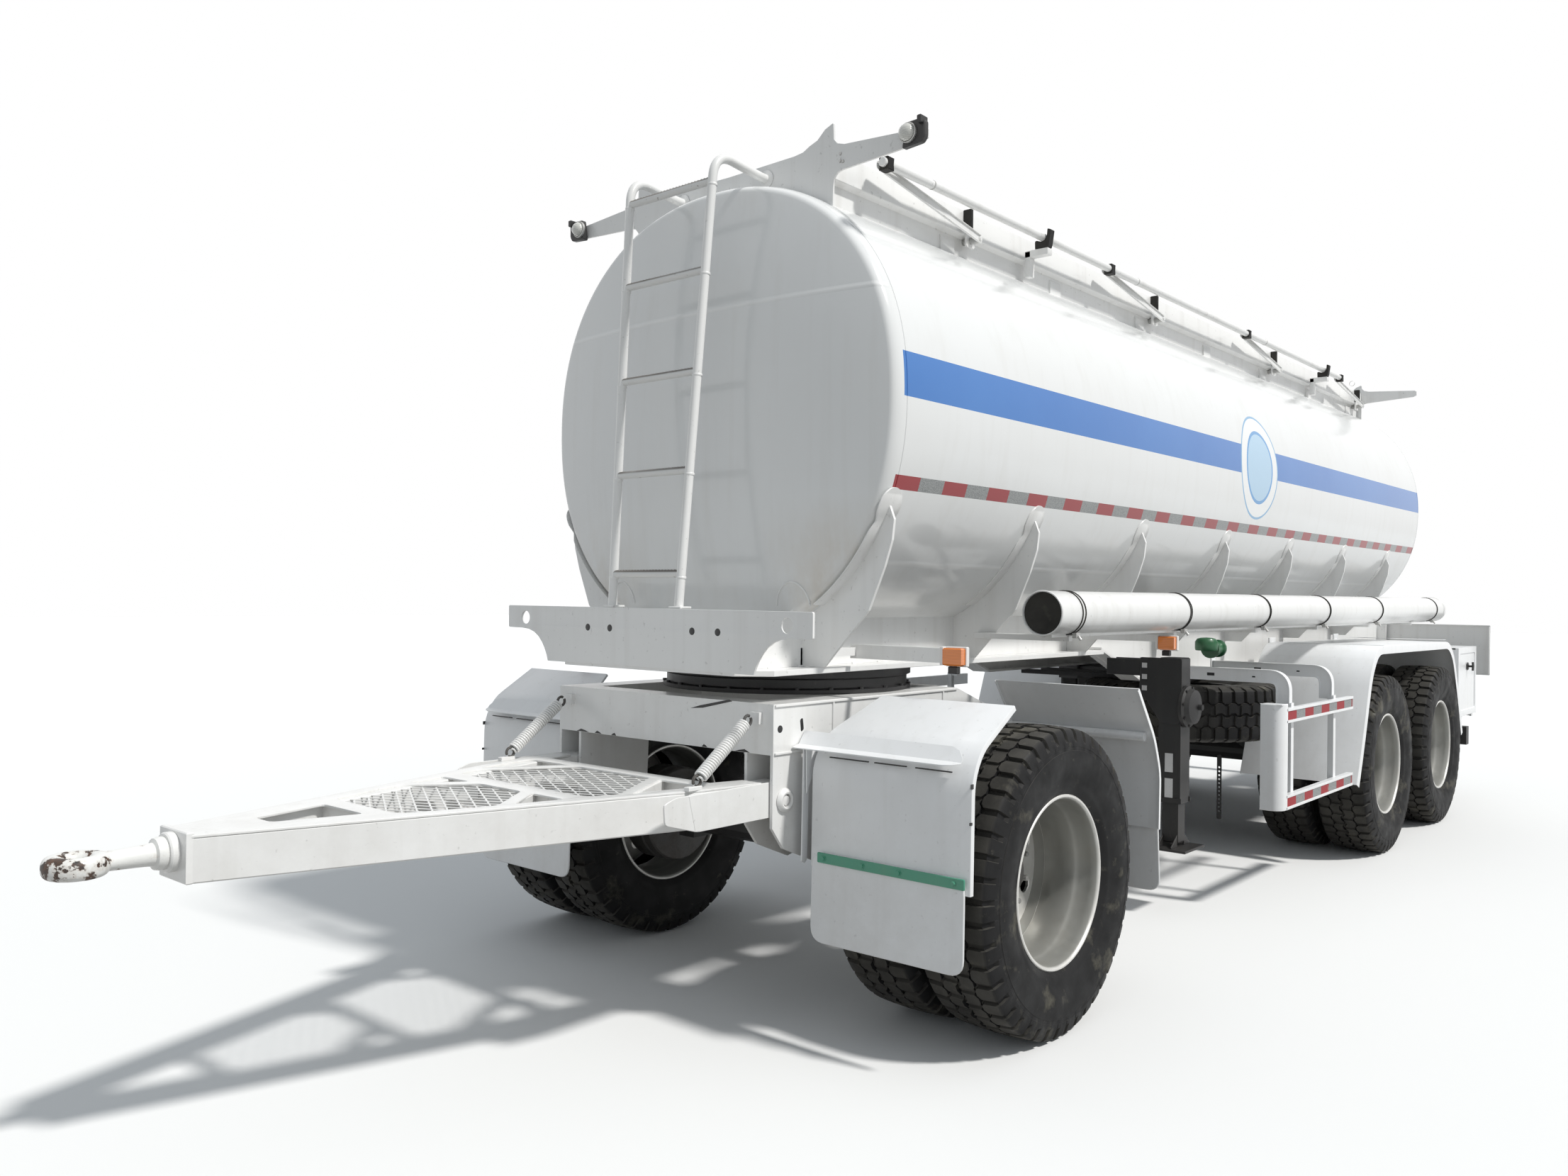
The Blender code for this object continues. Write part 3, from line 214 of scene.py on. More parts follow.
def blockShape(x, y, z, chamfer=0.0015):
    outline = [(x[0], y[0]), (x[1], y[0]), (x[1], y[1]), (x[0], y[1])]
    return plateShape(outline, "z", z[0], z[1], chamfer)


def fromAxle(shape):
    return movedShape(shape, (axleX, 0, 0))


def bothSides(shape):
    return joinShapes([shape, movedShape(shape, mirrorY=True)])


# A piece made of a list of shapes whose places are from the front axle.
def addSet(name, shapes, material, body, *rest):
    return addPiece(name, fromAxle(joinShapes(shapes)), material, body, *rest)


def addPair(name, shapes, material, body, *rest):
    return addPiece(name, fromAxle(bothSides(joinShapes(shapes))), material, body, *rest)


# Camera: place, bearing, tilt and roll were fitted to the photograph's straight edges.
cameraPlace = Vector((5.8732, 3.202, 1.5026))
yaw, pitch, roll = (math.radians(angle) for angle in (220.811, 0.301, 0.619))
forward = Vector((math.cos(pitch) * math.cos(yaw), math.cos(pitch) * math.sin(yaw), math.sin(pitch)))
level = forward.cross(Vector((0, 0, 1))).normalized()
upright = level.cross(forward)
right = level * math.cos(roll) + upright * math.sin(roll)
above = upright * math.cos(roll) - level * math.sin(roll)
cameraData = bpy.data.cameras.new("camera")
cameraData.sensor_width = 36
cameraData.lens = 27.57
cameraData.clip_end = 300
camera = bpy.data.objects.new("camera", cameraData)
camera.matrix_world = Matrix.Translation(cameraPlace) @ Matrix((right, above,
                                                                -forward)).transposed().to_4x4()
scene.collection.objects.link(camera)
scene.camera = camera


# Shader building: a node with its settings, a link or plain value per input, and its first output.
def addNode(tree, kind, inputs=None, **settings):
    node = tree.nodes.new(kind)
    for key, value in settings.items():
        setattr(node, key, value)
    for key, value in (inputs or {}).items():
        socket = node.inputs[key]
        if isinstance(value, bpy.types.NodeSocket):
            tree.links.new(value, socket)
        else:
            socket.default_value = value
    return node


def mathOf(tree, operation, first, second=0.0, clamp=False):
    node = addNode(tree, "ShaderNodeMath", {0: first, 1: second}, operation=operation, use_clamp=clamp)
    return node.outputs[0]


def timesOf(tree, first, second, clamp=False):
    return mathOf(tree, "MULTIPLY", first, second, clamp)


def bumpOf(tree, height, distance, strength, **normal):
    return addNode(tree, "ShaderNodeBump", {"Height": height, "Distance": distance, "Strength": strength,
                                            **normal}).outputs["Normal"]


# X, Y and Z of a place or a direction.
def partsOf(tree, vector):
    return addNode(tree, "ShaderNodeSeparateXYZ", {"Vector": vector}).outputs


def bandMask(tree, value, low, high):
    above = mathOf(tree, "GREATER_THAN", value, low)
    below = mathOf(tree, "LESS_THAN", value, high)
    return timesOf(tree, above, below)


def rampOf(tree, value, low, high, start=0.0, end=1.0):
    node = addNode(tree, "ShaderNodeMapRange", {"Value": value, "From Min": low, "From Max": high,
                                                "To Min": start, "To Max": end})
    return node.outputs["Result"]


def noiseOf(tree, vector, scale, detail=3.0, roughness=0.5):
    node = addNode(tree, "ShaderNodeTexNoise", {"Vector": vector, "Scale": scale, "Detail": detail,
                                                "Roughness": roughness})
    return node.outputs["Fac"]


def mixColor(tree, share, first, second):
    node = addNode(tree, "ShaderNodeMix", data_type="RGBA")
    for index, value in ((0, share), (6, first), (7, second)):
        if isinstance(value, bpy.types.NodeSocket):
            tree.links.new(value, node.inputs[index])
        else:
            node.inputs[index].default_value = value if index == 0 else (*value, 1.0)
    return node.outputs[2]


def placeOf(tree, scale=(1, 1, 1)):
    coordinates = addNode(tree, "ShaderNodeTexCoord").outputs["Object"]
    if scale == (1, 1, 1):
        return coordinates
    return addNode(tree, "ShaderNodeMapping", {"Vector": coordinates, "Scale": scale}).outputs["Vector"]


def newGroup(name, inputs, outputs):
    group = bpy.data.node_groups.new(name, "ShaderNodeTree")
    for key, value in inputs.items():
        socket = group.interface.new_socket(key, in_out="INPUT", socket_type="NodeSocketFloat")
        socket.default_value = value
    for key, kind in outputs.items():
        group.interface.new_socket(key, in_out="OUTPUT", socket_type=kind)
    return group, group.nodes.new("NodeGroupInput"), group.nodes.new("NodeGroupOutput")


# Dirt of a road vehicle: broad clouds, streaks that run down, small specks, and spray that fades upwards.
floatKind = "NodeSocketFloat"
weather, weatherIn, weatherOut = newGroup("weather", {"Height": 1.2},
                                          {"Cloud": floatKind, "Streak": floatKind, "Speck": floatKind,
                                           "Spray": floatKind})
place = placeOf(weather)
cloud = noiseOf(weather, place, 1.7, 5.0, 0.6)
streakPlace = placeOf(weather, (17, 17, 0.9))
streak = rampOf(weather, noiseOf(weather, streakPlace, 1.0, 3.0), 0.52, 0.78)
speck = rampOf(weather, noiseOf(weather, place, 55.0, 2.0), 0.68, 0.76)
tall = partsOf(weather, place)["Z"]
share = mathOf(weather, "DIVIDE", tall, weatherIn.outputs["Height"])
low = mathOf(weather, "SUBTRACT", 1.0, share, clamp=True)
spray = timesOf(weather, low, rampOf(weather, noiseOf(weather, place, 6.0, 6.0, 0.7), 0.3, 0.75))
for key, value in (("Cloud", cloud), ("Streak", streak), ("Speck", speck), ("Spray", spray)):
    weather.links.new(value, weatherOut.inputs[key])

# Sprayed paint: a faint orange peel over slow waves of the sheet under it.
peel, peelIn, peelOut = newGroup("sprayedSkin", {"Strength": 0.05, "Wave": 0.05},
                                 {"Normal": "NodeSocketVector"})
place = placeOf(peel)
wave = bumpOf(peel, noiseOf(peel, place, 2.6, 1.0), 0.02, peelIn.outputs["Wave"])
grain = bumpOf(peel, noiseOf(peel, place, 420.0, 1.0), 0.0006, peelIn.outputs["Strength"], Normal=wave)
peel.links.new(grain, peelOut.inputs["Normal"])


def useGroup(tree, group, **values):
    node = tree.nodes.new("ShaderNodeGroup")
    node.node_tree = group
    for key, value in values.items():
        node.inputs[key].default_value = value
    return node.outputs


def startMaterial(name):
    material = bpy.data.materials.new(name)
    material.use_nodes = True
    return material, material.node_tree


def setShader(material, **values):
    tree = material.node_tree
    shader = tree.nodes["Principled BSDF"]
    for key, value in values.items():
        socket = shader.inputs[key.replace("_", " ")]
        if isinstance(value, bpy.types.NodeSocket):
            tree.links.new(value, socket)
        elif socket.type == "RGBA":
            socket.default_value = (*value, 1.0)
        else:
            socket.default_value = value
    return material


# Paint with road dirt: the base darkens in clouds and streaks and takes brown spray low down.
def paintMaterial(name, color, dirt=(0.3, 0.26, 0.21), amount=1.0, roughness=0.28, height=1.2, coat=0.25,
                  wave=0.04, streaks=0.16):
    material, tree = startMaterial(name)
    marks = useGroup(tree, weather, Height=height)
    shade = rampOf(tree, marks["Cloud"], 0.3, 0.7, 0.06 * amount, 0)
    base = mixColor(tree, shade, color, dirt)
    run = timesOf(tree, marks["Streak"], streaks * amount)
    base = mixColor(tree, run, base, dirt)
    mud = timesOf(tree, marks["Spray"], 0.55 * amount, clamp=True)
    base = mixColor(tree, mud, base, dirt)
    base = mixColor(tree, timesOf(tree, marks["Speck"], 0.25 * amount), base, (0.1, 0.08, 0.07))
    dull = mathOf(tree, "ADD", timesOf(tree, mud, 0.4), roughness)
    normal = useGroup(tree, peel, Strength=0.12, Wave=wave)["Normal"]
    return setShader(material, Base_Color=base, Roughness=dull, Normal=normal, Coat_Weight=coat,
                     Coat_Roughness=0.12)


whitePaint = paintMaterial("whitePaint", (0.83, 0.83, 0.82))
frameWhite = paintMaterial("frameWhite", (0.86, 0.86, 0.85), amount=0.8, height=1.4, streaks=0.14)
wingWhite = paintMaterial("wingWhite", (0.87, 0.88, 0.89), dirt=(0.4, 0.37, 0.32), amount=0.6, coat=0.15,
                          wave=0.1)
blackPaint = paintMaterial("blackPaint", (0.011, 0.011, 0.012), dirt=(0.075, 0.068, 0.058), amount=0.7,
                           roughness=0.5, coat=0.06)
greenPaint = paintMaterial("greenPaint", (0.045, 0.3, 0.19), amount=0.5, roughness=0.38)
valveGreen = paintMaterial("valveGreen", (0.01, 0.115, 0.04), amount=0.5, roughness=0.42)
print("paints made")


# Dark marks of rust, grime at a joint or chipped paint: cloudy noise cut at a level.
def patchMask(tree, scale, low, high, stretch=(1, 1, 1)):
    return rampOf(tree, noiseOf(tree, placeOf(tree, stretch), scale, 5.0, 0.65), low, high)


# Red and silver blocks of reflecting tape, in pairs along x.
def tapeColors(tree, along, start, length=0.15):
    steps = mathOf(tree, "DIVIDE", mathOf(tree, "SUBTRACT", start, along), length * 2)
    red = mathOf(tree, "LESS_THAN", mathOf(tree, "FRACT", steps), 0.5)
    honey = addNode(tree, "ShaderNodeTexVoronoi", {"Vector": placeOf(tree),
                                                   "Scale": 240.0}).outputs["Distance"]
    silver = mixColor(tree, rampOf(tree, honey, 0.2, 0.7), (0.34, 0.35, 0.35), (0.2, 0.21, 0.21))
    return mixColor(tree, red, silver, (0.3, 0.008, 0.014))


tank = {"paint": (0.81, 0.82, 0.82), "blue": (0.022, 0.16, 0.51), "stripe": (2.172, 2.3255),
        "tape": (1.8625, 1.91), "shellFront": 0.44, "shellRear": -6.322, "headSeam": 2.552,
        "sideSeam": 1.617, "roundel": (-2.92, 2.222)}


def tankMaterial():
    material, tree = startMaterial("tankPaint")
    marks = useGroup(tree, weather, Height=1.75)
    where = partsOf(tree, placeOf(tree))
    along = mathOf(tree, "SUBTRACT", where["X"], axleX)
    side = mathOf(tree, "ABSOLUTE", where["Y"])
    shell = bandMask(tree, along, tank["shellRear"], tank["shellFront"])
    flank = timesOf(tree, shell, mathOf(tree, "GREATER_THAN", side, 0.5))
    dirt = (0.42, 0.37, 0.28)
    base = mixColor(tree, rampOf(tree, marks["Cloud"], 0.35, 0.65, 0.05, 0), tank["paint"], dirt)
    base = mixColor(tree, timesOf(tree, marks["Streak"], 0.08), base, dirt)
    # Rust coloured wash at the foot of the heads, strongest at their edge.
    head = mathOf(tree, "SUBTRACT", 1.0, shell)
    foot = rampOf(tree, where["Z"], 1.85, 1.45)
    rim = rampOf(tree, side, 0.25, 0.62)
    wash = timesOf(tree, timesOf(tree, head, foot), timesOf(tree, rim, patchMask(tree, 5.0, 0.35, 0.7,
                                                                                 (1, 1, 0.5))))
    base = mixColor(tree, timesOf(tree, wash, 0.55), base, (0.44, 0.3, 0.14))
    base = mixColor(tree, timesOf(tree, marks["Spray"], 0.35), base, dirt)
    # The head and side seams are painted lighter than the paint round them, a painted highlight along their
    # raised bead.
    seamLine = None
    for level, mask in ((tank["headSeam"], head), (tank["sideSeam"], shell)):
        away = mathOf(tree, "ABSOLUTE", mathOf(tree, "SUBTRACT", where["Z"], level))
        line = timesOf(tree, rampOf(tree, away, 0.011, 0.002), mask)
        seamLine = line if seamLine is None else mathOf(tree, "MAXIMUM", seamLine, line)
    base = mixColor(tree, timesOf(tree, seamLine, 0.45), base, (0.97, 0.97, 0.96))
    stripe = timesOf(tree, flank, bandMask(tree, where["Z"], *tank["stripe"]))
    blue = mixColor(tree, marks["Cloud"], tank["blue"], (0.05, 0.215, 0.58))
    base = mixColor(tree, stripe, base, blue)
    tape = timesOf(tree, flank, bandMask(tree, where["Z"], *tank["tape"]))
    base = mixColor(tree, tape, base, tapeColors(tree, along, tank["shellFront"]))
    # Plain roundel on both sides: a pale blue disc inside a white and a blue ring.
    dx = mathOf(tree, "SUBTRACT", along, tank["roundel"][0])
    dz = mathOf(tree, "SUBTRACT", where["Z"], tank["roundel"][1])
    squares = mathOf(tree, "ADD", timesOf(tree, dx, dx), timesOf(tree, dz, dz))
    away = mathOf(tree, "POWER", squares, 0.5)
    for radius, color in ((0.282, (0.2, 0.42, 0.66)), (0.27, (0.86, 0.87, 0.87)), (0.2, (0.1, 0.33, 0.66)),
                          (0.182, (0.42, 0.62, 0.8))):
        inside = timesOf(tree, flank, mathOf(tree, "LESS_THAN", away, radius))
        base = mixColor(tree, inside, base, color)
    shine = mathOf(tree, "ADD", timesOf(tree, tape, 0.18), 0.16)
    shine = mathOf(tree, "ADD", shine, timesOf(tree, wash, 0.2))
    skin = useGroup(tree, peel, Strength=0.1, Wave=0.1)["Normal"]
    raised = mathOf(tree, "ADD", seamLine, timesOf(tree, tape, 0.3))
    bump = bumpOf(tree, raised, 0.002, 0.6, Normal=skin)
    return setShader(material, Base_Color=base, Roughness=shine, Normal=bump, Coat_Weight=0.25,
                     Coat_Roughness=0.05)


# Rubber: nearly black walls with a few smears, and a tread that is brown with dust.
def rubberMaterial(name, dust=0.5, color=(0.0085, 0.0085, 0.009)):
    material, tree = startMaterial(name)
    coordinates = addNode(tree, "ShaderNodeTexCoord").outputs
    place = coordinates["Object"]
    facing = partsOf(tree, coordinates["Normal"])["Y"]
    tread = rampOf(tree, mathOf(tree, "ABSOLUTE", facing), 0.75, 0.25)
    worn = timesOf(tree, tread, rampOf(tree, noiseOf(tree, place, 9.0, 5.0), 0.3, 0.7, 0.35, 1.0))
    base = mixColor(tree, timesOf(tree, worn, dust), color, (0.135, 0.128, 0.112))
    smear = timesOf(tree, patchMask(tree, 6.0, 0.58, 0.72), dust)
    base = mixColor(tree, smear, base, (0.17, 0.16, 0.125))
    base = mixColor(tree, timesOf(tree, patchMask(tree, 26.0, 0.64, 0.72), dust * 0.5), base,
                    (0.16, 0.15, 0.12))
    grain = bumpOf(tree, noiseOf(tree, place, 260.0, 2.0), 0.0008, 0.35)
    rough = rampOf(tree, noiseOf(tree, place, 11.0, 4.0), 0.3, 0.7, 0.5, 0.78)
    return setShader(material, Base_Color=base, Roughness=rough, Normal=grain, Specular_IOR_Level=0.22)


# Bare or lightly coated metal with brushed grain and dull patches.
def metalMaterial(name, color, roughness=0.3, metallic=1.0, stain=(0.25, 0.2, 0.15), amount=0.35,
                  stretch=(1, 1, 1)):
    material, tree = startMaterial(name)
    grainPlace = placeOf(tree, stretch)
    patch = timesOf(tree, patchMask(tree, 9.0, 0.45, 0.75), amount)
    base = mixColor(tree, patch, color, stain)
    fine = noiseOf(tree, grainPlace, 130.0, 2.0)
    rough = mathOf(tree, "ADD", timesOf(tree, patch, 0.3), rampOf(tree, fine, 0.3, 0.7, roughness * 0.8,
                                                                  roughness * 1.25))
    bump = bumpOf(tree, fine, 0.0005, 0.15)
    return setShader(material, Base_Color=base, Roughness=rough, Metallic=metallic, Normal=bump)


# Silver rim: the lip and the disc are painted lighter as painted light and the barrel darker as painted
# shade; brake dust stains lie over all.
def rimMaterial():
    material, tree = startMaterial("rimSilver")
    coordinates = addNode(tree, "ShaderNodeTexCoord").outputs
    facing = partsOf(tree, coordinates["Normal"])["Y"]
    # Faces that point along the axle take the lighter colour as painted light, the barrel the darker one as
    # painted shade.
    paintedLightShare = rampOf(tree, mathOf(tree, "ABSOLUTE", facing), 0.25, 0.8)
    base = mixColor(tree, paintedLightShare, (0.33, 0.33, 0.31), (0.74, 0.73, 0.7))
    stain = timesOf(tree, patchMask(tree, 9.0, 0.45, 0.75), 0.3)
    base = mixColor(tree, stain, base, (0.28, 0.26, 0.22))
    rough = rampOf(tree, noiseOf(tree, coordinates["Object"], 30.0, 3.0), 0.3, 0.7, 0.3, 0.46)
    return setShader(material, Base_Color=base, Roughness=rough, Metallic=0.35)


# White paint worn to rusty black steel where it has been struck, as on the tow eye.
def chippedMaterial():
    material, tree = startMaterial("chippedPaint")
    where = partsOf(tree, placeOf(tree))
    front = rampOf(tree, where["X"], axleX + 2.52, axleX + 2.66, -0.07, 0.1)
    field = mathOf(tree, "ADD", noiseOf(tree, placeOf(tree), 26.0, 4.0, 0.6), front)
    bare = rampOf(tree, field, 0.605, 0.635)
    halo = rampOf(tree, field, 0.52, 0.62, 0.0, 0.35)
    steel = mixColor(tree, patchMask(tree, 40.0, 0.4, 0.65), (0.022, 0.02, 0.019), (0.1, 0.045, 0.022))
    base = mixColor(tree, halo, (0.8, 0.8, 0.78), (0.42, 0.33, 0.25))
    base = mixColor(tree, bare, base, steel)
    rough = mathOf(tree, "ADD", timesOf(tree, bare, 0.2), 0.36)
    edge = mathOf(tree, "SUBTRACT", noiseOf(tree, placeOf(tree), 60.0, 3.0), bare)
    bump = bumpOf(tree, edge, 0.0015, 0.5)
    return setShader(material, Base_Color=base, Roughness=rough, Normal=bump)


# Moulded lamp lens: fine ribs in the colour, with a clear skin.
def lensMaterial(name, color, dark, glow=0.0):
    material, tree = startMaterial(name)
    ribs = addNode(tree, "ShaderNodeTexWave", {"Vector": placeOf(tree), "Scale": 70.0}, bands_direction="Z")
    base = mixColor(tree, rampOf(tree, ribs.outputs["Fac"], 0.0, 1.0, 0.0, 0.5), color, dark)
    bump = bumpOf(tree, ribs.outputs["Fac"], 0.001, 0.4)
    return setShader(material, Base_Color=base, Roughness=0.18, Coat_Weight=0.8, Normal=bump,
                     Emission_Color=color, Emission_Strength=glow)


def guardTapeMaterial():
    material, tree = startMaterial("guardTape")
    where = partsOf(tree, placeOf(tree))
    base = tapeColors(tree, where["X"], axleX - 2.271, 0.13)
    base = mixColor(tree, patchMask(tree, 18.0, 0.62, 0.7), base, (0.3, 0.27, 0.24))
    return setShader(material, Base_Color=base, Roughness=0.5, Specular_IOR_Level=0.3)


tankPaint = tankMaterial()
tyreRubber = rubberMaterial("tyreRubber")
softRubber = rubberMaterial("softRubber", dust=0.25, color=(0.01, 0.01, 0.01))
rimSilver = rimMaterial()
hubSteel = metalMaterial("hubSteel", (0.085, 0.083, 0.08), 0.5, 0.4, stain=(0.09, 0.07, 0.055), amount=0.4)
zincSteel = metalMaterial("zincSteel", (0.44, 0.44, 0.43), 0.42, 0.7, stain=(0.3, 0.28, 0.25))
lidAluminium = metalMaterial("lidAluminium", (0.66, 0.66, 0.66), 0.33, 0.95, stain=(0.4, 0.4, 0.38),
                             stretch=(6, 1, 1))
chippedPaint = chippedMaterial()
orangeLens = lensMaterial("orangeLens", (0.8, 0.23, 0.03), (0.42, 0.09, 0.01), 0.05)
redLens = lensMaterial("redLens", (0.55, 0.02, 0.02), (0.22, 0.008, 0.008), 0.02)
clearLens = lensMaterial("clearLens", (0.66, 0.66, 0.62), (0.34, 0.34, 0.32))
guardTape = guardTapeMaterial()
print("materials made")


# Tyre: half width and radius follow the columns across it; rows carry the cross grooves of each block.
tyre = {"repeats": 46, "groove": 0.013, "sipe": 0.008, "zigzag": 0.0055, "center": 0.53}
wheel = {"outerY": 1.125, "innerY": 0.788, "discY": 0.982, "stations": {"front": 0.0, "middle": -4.07,
                                                                        "rear": -5.39}}


def tyreShape():
    phases = np.array([0.0, 0.04, 0.27, 0.31, 0.5, 0.54, 0.77, 0.81])
    angles = (np.arange(tyre["repeats"])[:, None] + phases[None]).ravel() * 2 * math.pi / tyre["repeats"]
    phase = np.tile(phases, tyre["repeats"])
    shoulderCut = ((phase >= 0.04) & (phase <= 0.28)).astype(float)
    middleCut = ((phase >= 0.54) & (phase <= 0.78)).astype(float)
    zigzag = np.where(phase < 0.4, 1.0, -1.0)
    # Columns from the outer bead over the tread: half width, radius, kind of row.
    runs = [("wall", [(0.112, 0.2862), (0.1175, 0.3), (0.1235, 0.309), (0.131, 0.322), (0.1345, 0.331),
                      (0.1345, 0.336), (0.1395, 0.352), (0.1465, 0.38), (0.1486, 0.405), (0.1486, 0.425),
                      (0.1475, 0.447), (0.1475, 0.4505), (0.146, 0.4515), (0.1445, 0.463), (0.1455, 0.4645),
                      (0.143, 0.478)]), ("notch", [(0.14, 0.489), (0.1355, 0.503), (0.13, 0.516)]),
            ("shoulder", [(0.1225, 0.5225), (0.119, 0.524), (0.08, 0.5268), (0.066, 0.5275)]),
            ("groove", [(0.0645, 0.5275), (0.0575, 0.5275)]), ("middle", [(0.056, 0.5278), (0.03, 0.529),
                                                                          (0.007, 0.5295)]),
            ("groove", [(0.0055, 0.5295)])]
    side = [(*column, kind) for kind, run in runs for column in run]
    columns = side + [(-width, level, kind) for width, level, kind in reversed(side)]
    width = np.array([c[0] for c in columns])[None] * np.ones((len(angles), 1))
    level = np.array([c[1] for c in columns])[None] * np.ones((len(angles), 1))
    kinds = np.array([c[2] for c in columns])
    half = np.sign(width)
    # The other half of the tread is turned by half a block.
    cutShoulder = np.where(half > 0, shoulderCut[:, None], middleCut[:, None])
    cutMiddle = np.where(half > 0, middleCut[:, None], shoulderCut[:, None])
    level = level - np.where(kinds == "groove", tyre["groove"], 0)
    level = level - np.where(kinds == "shoulder", tyre["groove"], 0) * cutShoulder
    level = level - np.where(kinds == "middle", tyre["sipe"], 0) * cutMiddle
    width = width - np.where(kinds == "notch", 0.0085, 0) * cutShoulder * half
    tread = np.isin(kinds, ["groove", "middle"]) | (np.abs(width) < 0.067)
    width = width + np.where(tread, tyre["zigzag"], 0) * zigzag[:, None]
    # Raised ticks and plain bars on the sidewall, where a real tyre carries its relief.
    bars = (np.sin(angles * 7) > 0.55)[:, None] & (np.abs(level - 0.415) < 0.012)
    ticks = (np.sin(angles * 46) > 0.0)[:, None] & (np.abs(level - 0.47) < 0.009)
    width = width + half * (bars * 0.0012 + ticks * 0.0015)
    points = np.stack([level * np.sin(angles)[:, None], width, level * np.cos(angles)[:, None]], axis=-1)
    return gridShape(points, closedU=True, closedV=True)


# Gives two shapes' touching corners one common point, so that a seam is closed.
def welded(shape):
    points, polygons = shape
    keys, first, inverse = np.unique(np.round(points, 6), axis=0, return_index=True, return_inverse=True)
    inverse = inverse.ravel()
    return points[first], [inverse[group] for group in polygons]


# Disc with round hand holes: each sector is a ring of points that runs from the hole to the sector's edge.
def discShape(inner, outer, low, high, holes, holeRadius):
    share = np.linspace(0, 1, 5)[:4]
    ones = np.ones(4)
    edge = np.concatenate([np.stack([2 * share - 1, -ones], 1), np.stack([ones, 2 * share - 1], 1),
                           np.stack([1 - 2 * share, ones], 1), np.stack([-ones, 1 - 2 * share], 1)])
    half = math.pi / holes
    shapes = []
    for sector in range(holes):
        middle = 2 * half * (sector + 0.5)
        theta = middle + edge[:, 0] * half
        radial = (inner + outer) / 2 + edge[:, 1] * (outer - inner) / 2
        rimPoints = np.stack([radial * np.cos(theta), radial * np.sin(theta)], 1)
        center = np.array([math.cos(middle), math.sin(middle)]) * (inner + outer) / 2
        away = rimPoints - center
        holePoints = center + away / np.linalg.norm(away, axis=1, keepdims=True) * holeRadius
        softPoints = center + away / np.linalg.norm(away, axis=1, keepdims=True) * (holeRadius + 0.003)
        rows = []
        for flat, level in ((rimPoints, high), (softPoints, high), (holePoints, high - 0.003),
                            (holePoints, low), (rimPoints, low)):
            rows.append(np.stack([flat[:, 0], np.full(16, level), flat[:, 1]], axis=-1))
        shapes.append(gridShape(np.stack(rows, axis=1)))
    count = holes * 4
    ring = np.arange(count) * 2 * math.pi / count - half
    for radius, first, last in ((outer, low, high), (inner, high, low)):
        rows = [np.stack([radius * np.cos(ring), np.full(count, level), radius * np.sin(ring)], axis=-1)
                for level in (first, last)]
        shapes.append(gridShape(np.stack(rows, axis=1)))
    return welded(joinShapes(shapes))


# Rim as a closed ring: the lip curls over the bead, then steps down to the well and back.
def rimRing(outwards, center):
    inside = [(0.2985, 0.108), (0.2985, 0.1175), (0.2955, 0.12), (0.29, 0.12), (0.2855, 0.1165),
              (0.2825, 0.11), (0.279, 0.085), (0.2765, 0.05), (0.27, 0.035), (0.264, 0.01), (0.263, -0.03),
              (0.269, -0.055), (0.27, -0.09), (0.279, -0.109), (0.29, -0.12), (0.2955, -0.12),
              (0.2985, -0.1175), (0.2985, -0.108), (0.286, -0.107), (0.284, -0.095), (0.275, -0.05),
              (0.27, -0.03), (0.27, 0.015), (0.282, 0.05), (0.285, 0.105), (0.287, 0.107)]
    profile = [(radius, center + outwards * height) for radius, height in inside]
    if outwards > 0:
        profile = profile[::-1]
    return turnedShape(profile, "y", (0, 0, 0), 72)


def wheelShapes():
    disc = wheel["discY"]
    silver = [rimRing(1, wheel["outerY"]), rimRing(-1, wheel["innerY"])]
    silver.append(discShape(0.15, 0.268, disc + 0.001, disc + 0.014, 8, 0.031))
    silver.append(turnedOn([(0.262, 0.012), (0.2695, 0.012), (0.2735, 0.052), (0.269, 0.052)], disc,
                           (0, 0, 0), 72))
    hub = [(0, -0.01), (0.16, -0.01), (0.16, 0.016), (0.136, 0.02), (0.118, 0.026), (0.1, 0.032),
           (0.096, 0.046), (0.093, 0.048), (0.091, 0.054), (0.08, 0.056), (0.075, 0.074), (0.068, 0.08),
           (0.04, 0.083), (0, 0.084)]
    dark = [turnedOn(hub, disc, (0, 0, 0), 40)]
    drum = [(0, 0.602), (0.196, 0.602), (0.203, 0.608), (0.205, 0.64), (0.198, 0.645), (0.198, 0.655),
            (0.205, 0.66), (0.205, 0.745), (0.19, 0.76), (0.15, 0.77), (0.13, disc - 0.005),
            (0, disc - 0.005)]
    dark.append(turnedOn(drum, 0, (0, 0, 0), 48))
    nut = [(0, 0.012), (0.0195, 0.012), (0.0195, 0.017), (0.0165, 0.018), (0.0165, 0.036), (0.014, 0.038),
           (0, 0.038)]
    stud = [(0, 0.03), (0.0095, 0.03), (0.0095, 0.055), (0.008, 0.058), (0, 0.058)]
    bolt = [(0, 0.044), (0.0062, 0.044), (0.0062, 0.06), (0, 0.06)]
    nuts = []
    for x, z in around(10, 0.1425, 0.5):
        nuts += [turnedOn(nut, disc, (x, 0, z), 6), turnedOn(stud, disc, (x, 0, z), 10)]
    for x, z in around(8, 0.0865, 0.25):
        nuts.append(turnedOn(bolt, disc, (x, 0, z), 6))
    return joinShapes(silver), joinShapes(dark), joinShapes(nuts)


def placed(shape, side, x, y=0.0, z=0.0):
    return movedShape(movedShape(shape, (0, y, 0)), (axleX + x, 0, z), mirrorY=side < 0)


